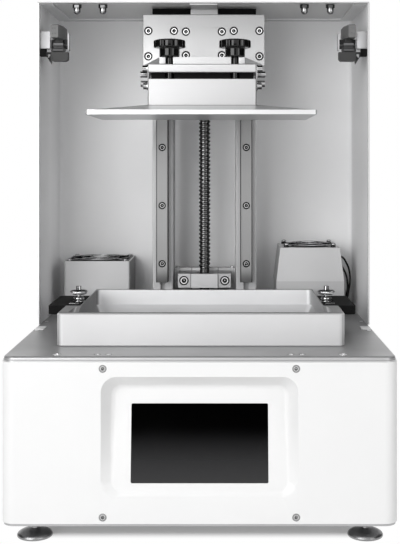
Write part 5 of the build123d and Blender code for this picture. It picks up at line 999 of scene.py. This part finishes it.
def blade_sheets(centre, low, high, hub, tip, blades):
    """Fan blades: on each, point = (r cos a, r sin a, z), where the angle a leans with the height and sweeps
    back with the radius, and the blade is a thin closed lens across its chord."""
    radius = np.linspace(hub * 0.96, tip, 10)[:, None]
    round_chord = np.linspace(0, TURN, 24, endpoint=False)[None, :]
    along, thick = (1 - np.cos(round_chord)) / 2, np.sin(round_chord)
    sweep = 0.35 * ((radius - hub) / (tip - hub)) ** 2
    angle = 0.8 * TURN / blades * (along - 0.5) + sweep + thick * 0.6 * MM / radius
    height = low + (high - low) * along
    turns = np.arange(blades) * TURN / blades
    return [capped(polar(centre, radius, angle + turn, height)) for turn in turns]


def fan_rotor(fan, blades):
    """A fan's hub and blades in place of its plain rotor."""
    node = f"{fan}_rotor"
    low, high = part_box(node)
    housing = 2 * half_width(f"{fan}_frame")
    hub, tip, gap = housing * 0.2, housing * 0.455, 0.6 * MM
    dip = high.z - 0.4 * MM
    corners = [(0, low.z), (hub, low.z), (hub, high.z), (hub * 0.35, high.z), (hub * 0.3, dip), (0, dip)]
    sheets = [turned(corners, axis(node), 48, soft=(0.8 * MM, 3))]
    sheets += blade_sheets(axis(node), low.z + gap, high.z - gap, hub, tip, blades)
    body = body_of(NODES[node])[0]
    build_piece(f"bladed_{node}", sheets, body, ["black_plastic"], [node])


def finger_guard(name, centre, rest, radius, rise, corner, screw_low, wires):
    """A chrome finger guard over a fan: wire rings, each at height rest + rise * (1 - (ring / radius)^2),
    straight wires from the inner ring to the corners, a badge in the middle and a domed screw at each
    corner."""
    wire = 0.7 * MM
    around = np.linspace(0, TURN, 64, endpoint=False)
    sheets = []
    for ring in radius * np.arange(1, wires + 1) / wires:
        path = polar(centre, ring, around, rest + rise * (1 - (ring / radius) ** 2))
        sheets.append(Sheet(tube(path, wire, closed=True), loop=True))
    inner, outer = radius / wires * DIAGONAL, radius * DIAGONAL
    head = mm((0, 0), (3.1, 0), (3.1, 1.2), (1.9, 2.2), (0, 2.4))
    for i, j in CORNERS:
        stops = [(inner, rest + rise * (1 - 1 / wires ** 2) - wire), (outer, rest - wire),
                 (corner, rest - wire)]
        stops = [(centre[0] + i * out, centre[1] + j * out, height) for out, height in stops]
        for start, end in zip(stops, stops[1:]):
            sheets.append(capped(tube(np.linspace(start, end, 4), wire)))
        sheets.append(turned(head, (*stops[-1][:2], screw_low), 24, soft=(0.4 * MM, 3)))
    rim, top = 0.26 * radius, rest + rise
    badge = [(0, top - 0.6 * MM), (rim, top - 0.6 * MM), (rim, top), (0, top + 0.4 * MM)]
    sheets.append(turned(badge, centre, 32, finish=1))
    build_piece(name, sheets, "frame", ["dark_chrome", "white_plastic"])


class PRINTER_OT_fans(PrinterOperator):
    """Finish the fans, their boxes and leads"""

    bl_idname = "printer.fans"
    bl_label = "Fans"

    def execute(self, context):
        sizes = context.scene.printer_fan
        dress("box_coat", "fan_box_left", edge=0.4)
        dress("duct_coat", "duct_right", edge=0.4)
        dress("black_plastic", "fan_left_frame", "fan_right_frame", "lamp_fan_frame", edge=0.2)
        for fan in ("fan_left", "fan_right", "lamp_fan"):
            fan_rotor(fan, sizes.blades)
        half = half_width("fan_left_frame")
        left_top, right_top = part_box("fan_left_frame")[1].z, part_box("fan_right_frame")[1].z
        finger_guard("finger_guard_left", axis("fan_left_frame"), rest=left_top + 0.4 * MM,
                     radius=half * 0.92, rise=0.8 * MM, corner=half - 4.3 * MM,
                     screw_low=left_top - 0.9 * MM, wires=sizes.wires)
        duct_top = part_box("duct_right")[1].z
        finger_guard("finger_guard_right", axis("fan_right_rotor"), rest=duct_top + 2.4 * MM,
                     radius=31 * MM, rise=2.8 * MM, corner=30 * MM, screw_low=right_top - 1.8 * MM,
                     wires=sizes.wires)
        dress("lead_sheath", "fan_leads")
        return {"FINISHED"}


class PRINTER_OT_hinges(PrinterOperator):
    """Finish the lid's hinges"""

    bl_idname = "printer.hinges"
    bl_label = "Lid Hinges"

    def execute(self, context):
        dress("hinge_steel", "hinge_bracket_left", "hinge_bracket_right", edge=0.2)
        dress("dark_plastic", "hinge_dampers", edge=0.2)
        dress("cup_plastic", "hinge_cup_left", "hinge_cup_right", edge=0.3)
        for hand in ("left", "right"):
            low, high = box_mm(f"hinge_bracket_{hand}")
            left, right = (low.x + 0.2, low.x + 7.6) if hand == "left" else (high.x - 7.6, high.x - 0.2)
            # A black slab beside each cup: a painted shadow in the opening between the wall and the cup.
            housing = slab(*mm((left, low.y + 1.6, low.z - 5), (right, low.y + 9, low.z + 4.2)))
            build_piece(f"spring_housing_{hand}", [housing], "frame", ["black_anodised"],
                        edge=0.5 * MM)
        return {"FINISHED"}


def hexagon(angle, profile, key):
    """1 outside the key; on the key, the outline of a hexagon: cos 30 / cos(angle from a side's middle)."""
    side = np.cos(math.radians(30)) / np.cos(np.mod(angle, TURN / 6) - TURN / 12)
    on_key = np.abs(profile[:, :1] - key) < key * 0.001
    return np.where(on_key, side, 1.0)


def socket_screw(low, high, gap, key_share):
    """A socket-head screw in the box of its plain solid: a dark body, a painted shade in its hexagonal key
    and in the collar that fills the gap round the head, a bright ring on the head and a bright point in the
    key, a painted highlight, facing the front or up. A front-facing screw is the upright one tipped over: (x,
    y, z) becomes (x, -z, y)."""
    extent = high - low
    tipped = abs(extent[0] - extent[2]) < abs(extent[0] - extent[1])
    head, length = extent[0] / 2, extent[1 if tipped else 2]
    key, shank, collar, face = head * key_share, head * 0.5, head + gap, -head * 0.1
    deep, under = min(head * 0.6, length * 0.5), -min(head * 1.2, length * 0.8)
    rim, seat = collar - 1.65 * MM, face - 0.9 * MM
    body = [(0, -deep), (key, -deep), (key, face), (collar, face - 0.2 * MM), (collar, seat),
            (head, seat), (head, under), (shank, under), (shank, -length), (0, -length)]
    ring = [(key * 1.04, face), (key * 1.12, 0), (rim - 0.2 * MM, 0), (rim, face)]
    # A bright point on the key's floor: a painted highlight.
    point = [(0, -deep), (head * 0.13, -deep), (0, -deep + head * 0.1)]
    middle = (low + high) / 2
    spot = (middle[0], low[1], middle[2]) if tipped else (middle[0], middle[1], high[2])
    sheets = []
    for profile, loop, finish in ((body, False, 1), (ring, True, 0), (point, False, 0)):
        sheet = turned(profile, (0, 0, 0), 36, swell=lambda angle, rows: hexagon(angle, rows, key))
        x, y, z = np.moveaxis(sheet.points, -1, 0)
        grid = np.stack([x, -z, y] if tipped else [x, y, z], axis=-1)
        sheets.append(Sheet(grid + spot, loop=loop, finish=finish))
    return sheets


class PRINTER_OT_fasteners(PrinterOperator):
    """Cut the keys of the screws and finish the cap nuts"""

    bl_idname = "printer.fasteners"
    bl_label = "Fasteners"

    def execute(self, context):
        share = context.scene.printer_fastener.key_share
        for body, gap in (("frame", 0.36 * MM), ("carriage", 0.9 * MM)):
            node = f"{body}_screws"
            screws = [socket_screw(low, high, gap, share) for low, high in solid_boxes(node)]
            build_piece(f"keyed_{node}", sum(screws, []), body, ["plated_face", "screw_shade"],
                        [node], crease=35)
        dress("nut_steel", "cap_nuts", edge=0.2)
        return {"FINISHED"}


class PRINTER_OT_deck_screws(PrinterOperator):
    """Set the small countersunk screws beside the tower's walls"""

    bl_idname = "printer.deck_screws"
    bl_label = "Deck Screws"

    def execute(self, context):
        low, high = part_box("deck_plate")
        head = mm((0, -1.5), (2.6, -1.5), (2.6, 0.3), (1.3, 0.35), (1.1, 0), (0, 0))
        # A dark ring round each head, in the screws' painted shade, stands for the shade in its countersink.
        seat = mm((2.6, -1), (3.4, -1), (3.4, 0.1), (2.6, 0.1))
        sheets = []
        for hand in (-1, 1):
            for depth in (165 * MM, 235 * MM):
                spot = (hand * (high.x - 6 * MM), low.y + depth, high.z)
                sheets += [turned(head, spot, 24), turned(seat, spot, 24, loop=True, finish=1)]
        build_piece("deck_screws", sheets, "frame", ["plated_face", "screw_shade"])
        return {"FINISHED"}


class PRINTER_OT_electrics(PrinterOperator):
    """Finish what the base holds"""

    bl_idname = "printer.electrics"
    bl_label = "Inside the Base"

    def execute(self, context):
        dress("galvanised", "power_supply")
        dress("black_anodised", "z_motor")
        dress("column_anodised", "uv_lamp")
        dress("board_green", "mainboard")
        dress("black_plastic", "power_inlet", "power_switch", edge=0.2)
        return {"FINISHED"}


class PRINTER_OT_feet(PrinterOperator):
    """Turn the domed feet, each with its stem and lock nut"""

    bl_idname = "printer.feet"
    bl_label = "Feet"

    def execute(self, context):
        stem, boss = 3.4, 5
        nut = mm((4.6, 13.2), (8.2, 13.2), (8.2, 17.2), (4.6, 17.2))
        for node in [f"foot_{row}_{hand}" for row in ("front", "rear") for hand in ("left", "right")]:
            low, high = box_mm(node)
            rim = half_width(node) / MM
            dome = mm((0, low.z), (rim - 1, low.z), (rim, 1), (rim, 2.6), (rim - 1.2, 4.4), (rim - 4.5, 6.2),
                      (rim - 9, 7.6), (stem, 8.8), (stem, 12.4), (boss, 12.8), (boss, high.z), (0, high.z))
            sheets = [turned(dome, axis(node), 64, soft=(0.7 * MM, 3)), turned(nut, axis(node), 6, loop=True)]
            build_piece(f"domed_{node}", sheets, node, ["foot_metal"], [node])
        return {"FINISHED"}


# ---- Stage ----

def area_lamp(name, spot, width, power):
    """A square soft lamp at a place, aimed at the middle of the object."""
    lamp = bpy.data.lights.new(name, "AREA")
    lamp.size = width
    lamp.energy = power
    holder = bpy.data.objects.new(name, lamp)
    holder.location = spot
    holder.rotation_euler = (Vector((0.0, 0.0, 0.25)) - Vector(spot)).to_track_quat("-Z", "Y").to_euler()
    bpy.context.scene.collection.objects.link(holder)


def seen_directly(tree):
    """1 for rays from the camera, from gloss and through glass, and 0 for the light that falls on things."""
    camera = add(tree, "ShaderNodeLightPath", output="Is Camera Ray")
    return camera.larger(camera.other("Is Glossy Ray")).larger(camera.other("Is Transmission Ray"))


def floor_material(half_x, half_y):
    """A white floor that keeps the object's shadow under its footprint and shines plain white outside it."""
    material, tree, shader = node_material("floor_white")
    feed(shader, {"Base Color": (0.93, 0.93, 0.93, 1.0), "Roughness": 0.9, "Specular IOR Level": 0.0})
    x, y, _ = place(tree)
    outside = (x.size() - half_x).larger(y.size() - half_y)
    share = seen_directly(tree) * outside.ramp(-0.042, -0.019, 0.16, 1.0, "SMOOTHSTEP")
    glow = add(tree, "ShaderNodeEmission", {"Color": WHITE})
    blend = add(tree, "ShaderNodeMixShader", {"Fac": share, 1: Value(shader), 2: glow})
    feed(tree.nodes["Material Output"], {"Surface": blend})
    return material


def card_material(name, low, high, foot):
    """A card that is black above and lighter towards its foot, for dark glass and bright metal to mirror."""
    material, tree, shader = node_material(name)
    tree.nodes.remove(shader)
    glow = add(tree, "ShaderNodeEmission", {"Strength": place(tree)[2].ramp(low, high, foot, 0.0)})
    feed(tree.nodes["Material Output"], {"Surface": glow})
    return material


def white_world(ambient):
    """A world that looks white, directly and in gloss, and lights softly."""
    world = bpy.data.worlds.new("Studio")
    world.use_nodes = True
    strength = seen_directly(world.node_tree).ramp(0.0, 1.0, ambient, 1.0)
    feed(world.node_tree.nodes["Background"], {"Color": WHITE, "Strength": strength})
    return world


def flat_panel(name, low, high, material):
    """A flat stage panel between two corners, which are level with each other along one axis."""
    low, high = np.array(low), np.array(high)
    across = np.zeros(3)
    wide = np.flatnonzero(high - low)[0]
    across[wide] = (high - low)[wide]
    mesh = bpy.data.meshes.new(name)
    mesh.from_pydata([low, low + across, high, high - across], [], [(0, 1, 2, 3)])
    mesh.materials.append(material)
    panel = bpy.data.objects.new(name, mesh)
    bpy.context.scene.collection.objects.link(panel)
    return panel


def dark_card(name, low, high, material):
    """A card that only mirrors show: it is hidden from the camera and takes no light from anything."""
    card = flat_panel(name, low, high, material)
    card.visible_camera = card.visible_diffuse = card.visible_shadow = False


class PRINTER_OT_stage(PrinterOperator):
    """Set the floor, lamps, world and camera"""

    bl_idname = "printer.stage"
    bl_label = "Stage"

    def execute(self, context):
        scene = context.scene
        settings = scene.printer_stage
        reach = 9.0
        halves = [(CAD_BOX[1][i] - CAD_BOX[0][i]) / 2 for i in (0, 1)]
        flat_panel("studio_floor", (-reach, -reach, 0), (reach, reach, 0), floor_material(*halves))
        fading = card_material("card_fade", 0.02, 0.19, 0.8)
        black = card_material("card_black", 0.0, 0.01, 0.0)
        dark_card("card_behind", (-0.6, -3, 0.02), (0.6, -3, 0.7), fading)
        for hand, x in (("left", -1.3), ("right", 1.3)):
            dark_card(f"card_{hand}", (x, -1.1, 0.1), (x, 1.0, 1.4), black)
        dark_card("card_above", (-1.0, -1.0, 1.5), (1.0, 0.9, 1.5), black)
        scene.world = white_world(settings.ambient)
        area_lamp("key_lamp", (-1.2, -2.2, 0.95), 1.8, settings.key_power)
        area_lamp("fill_lamp", (2.0, -1.8, 0.9), 1.4, settings.fill_power)
        area_lamp("top_lamp", (0.0, -0.6, 2.2), 1.4, settings.top_power)
        camera = bpy.data.cameras.new("Camera")
        camera.lens = 70.48
        camera.sensor_width = 36.0
        camera.shift_x = -0.0441
        camera.shift_y = -0.2022
        holder = bpy.data.objects.new("Camera", camera)
        holder.location = (settings.camera_side, -settings.camera_distance, settings.camera_height)
        holder.rotation_euler = (math.radians(90), 0.0, 0.0)
        scene.collection.objects.link(holder)
        scene.camera = holder
        scene.view_settings.view_transform = "Standard"
        return {"FINISHED"}


# ---- Add-on ----

SETTINGS = {
    "printer_colours": PrinterColours,
    "printer_screw": LiftScrewSizes,
    "printer_knob": KnobSizes,
    "printer_thumb_screw": ThumbScrewSizes,
    "printer_fan": FanSizes,
    "printer_fastener": FastenerSizes,
    "printer_stage": StageSettings,
}
OPERATORS = PrinterOperator.__subclasses__()  # in the order in which they are written


class PRINTER_PT_panel(bpy.types.Panel):
    """Sizes, colours and steps of the printer"""

    bl_idname = "PRINTER_PT_panel"
    bl_label = "Resin Printer"
    bl_space_type = "VIEW_3D"
    bl_region_type = "UI"
    bl_category = "Printer"

    def draw(self, context):
        for name, group in SETTINGS.items():
            box = self.layout.box()
            box.label(text=group.__doc__.strip("."))
            for setting in group.__annotations__:
                box.prop(getattr(context.scene, name), setting)
        for operator in OPERATORS:
            self.layout.operator(operator.bl_idname)


def register():
    for name, group in SETTINGS.items():
        bpy.utils.register_class(group)
        setattr(bpy.types.Scene, name, bpy.props.PointerProperty(type=group))
    for operator in OPERATORS:
        bpy.utils.register_class(operator)
    bpy.utils.register_class(PRINTER_PT_panel)


def unregister():
    bpy.utils.unregister_class(PRINTER_PT_panel)
    for operator in reversed(OPERATORS):
        bpy.utils.unregister_class(operator)
    for name, group in reversed(SETTINGS.items()):
        delattr(bpy.types.Scene, name)
        bpy.utils.unregister_class(group)


def main():
    register()
    for operator in OPERATORS:
        area, verb = operator.bl_idname.split(".")
        getattr(getattr(bpy.ops, area), verb)()


if __name__ == "__main__":
    main()
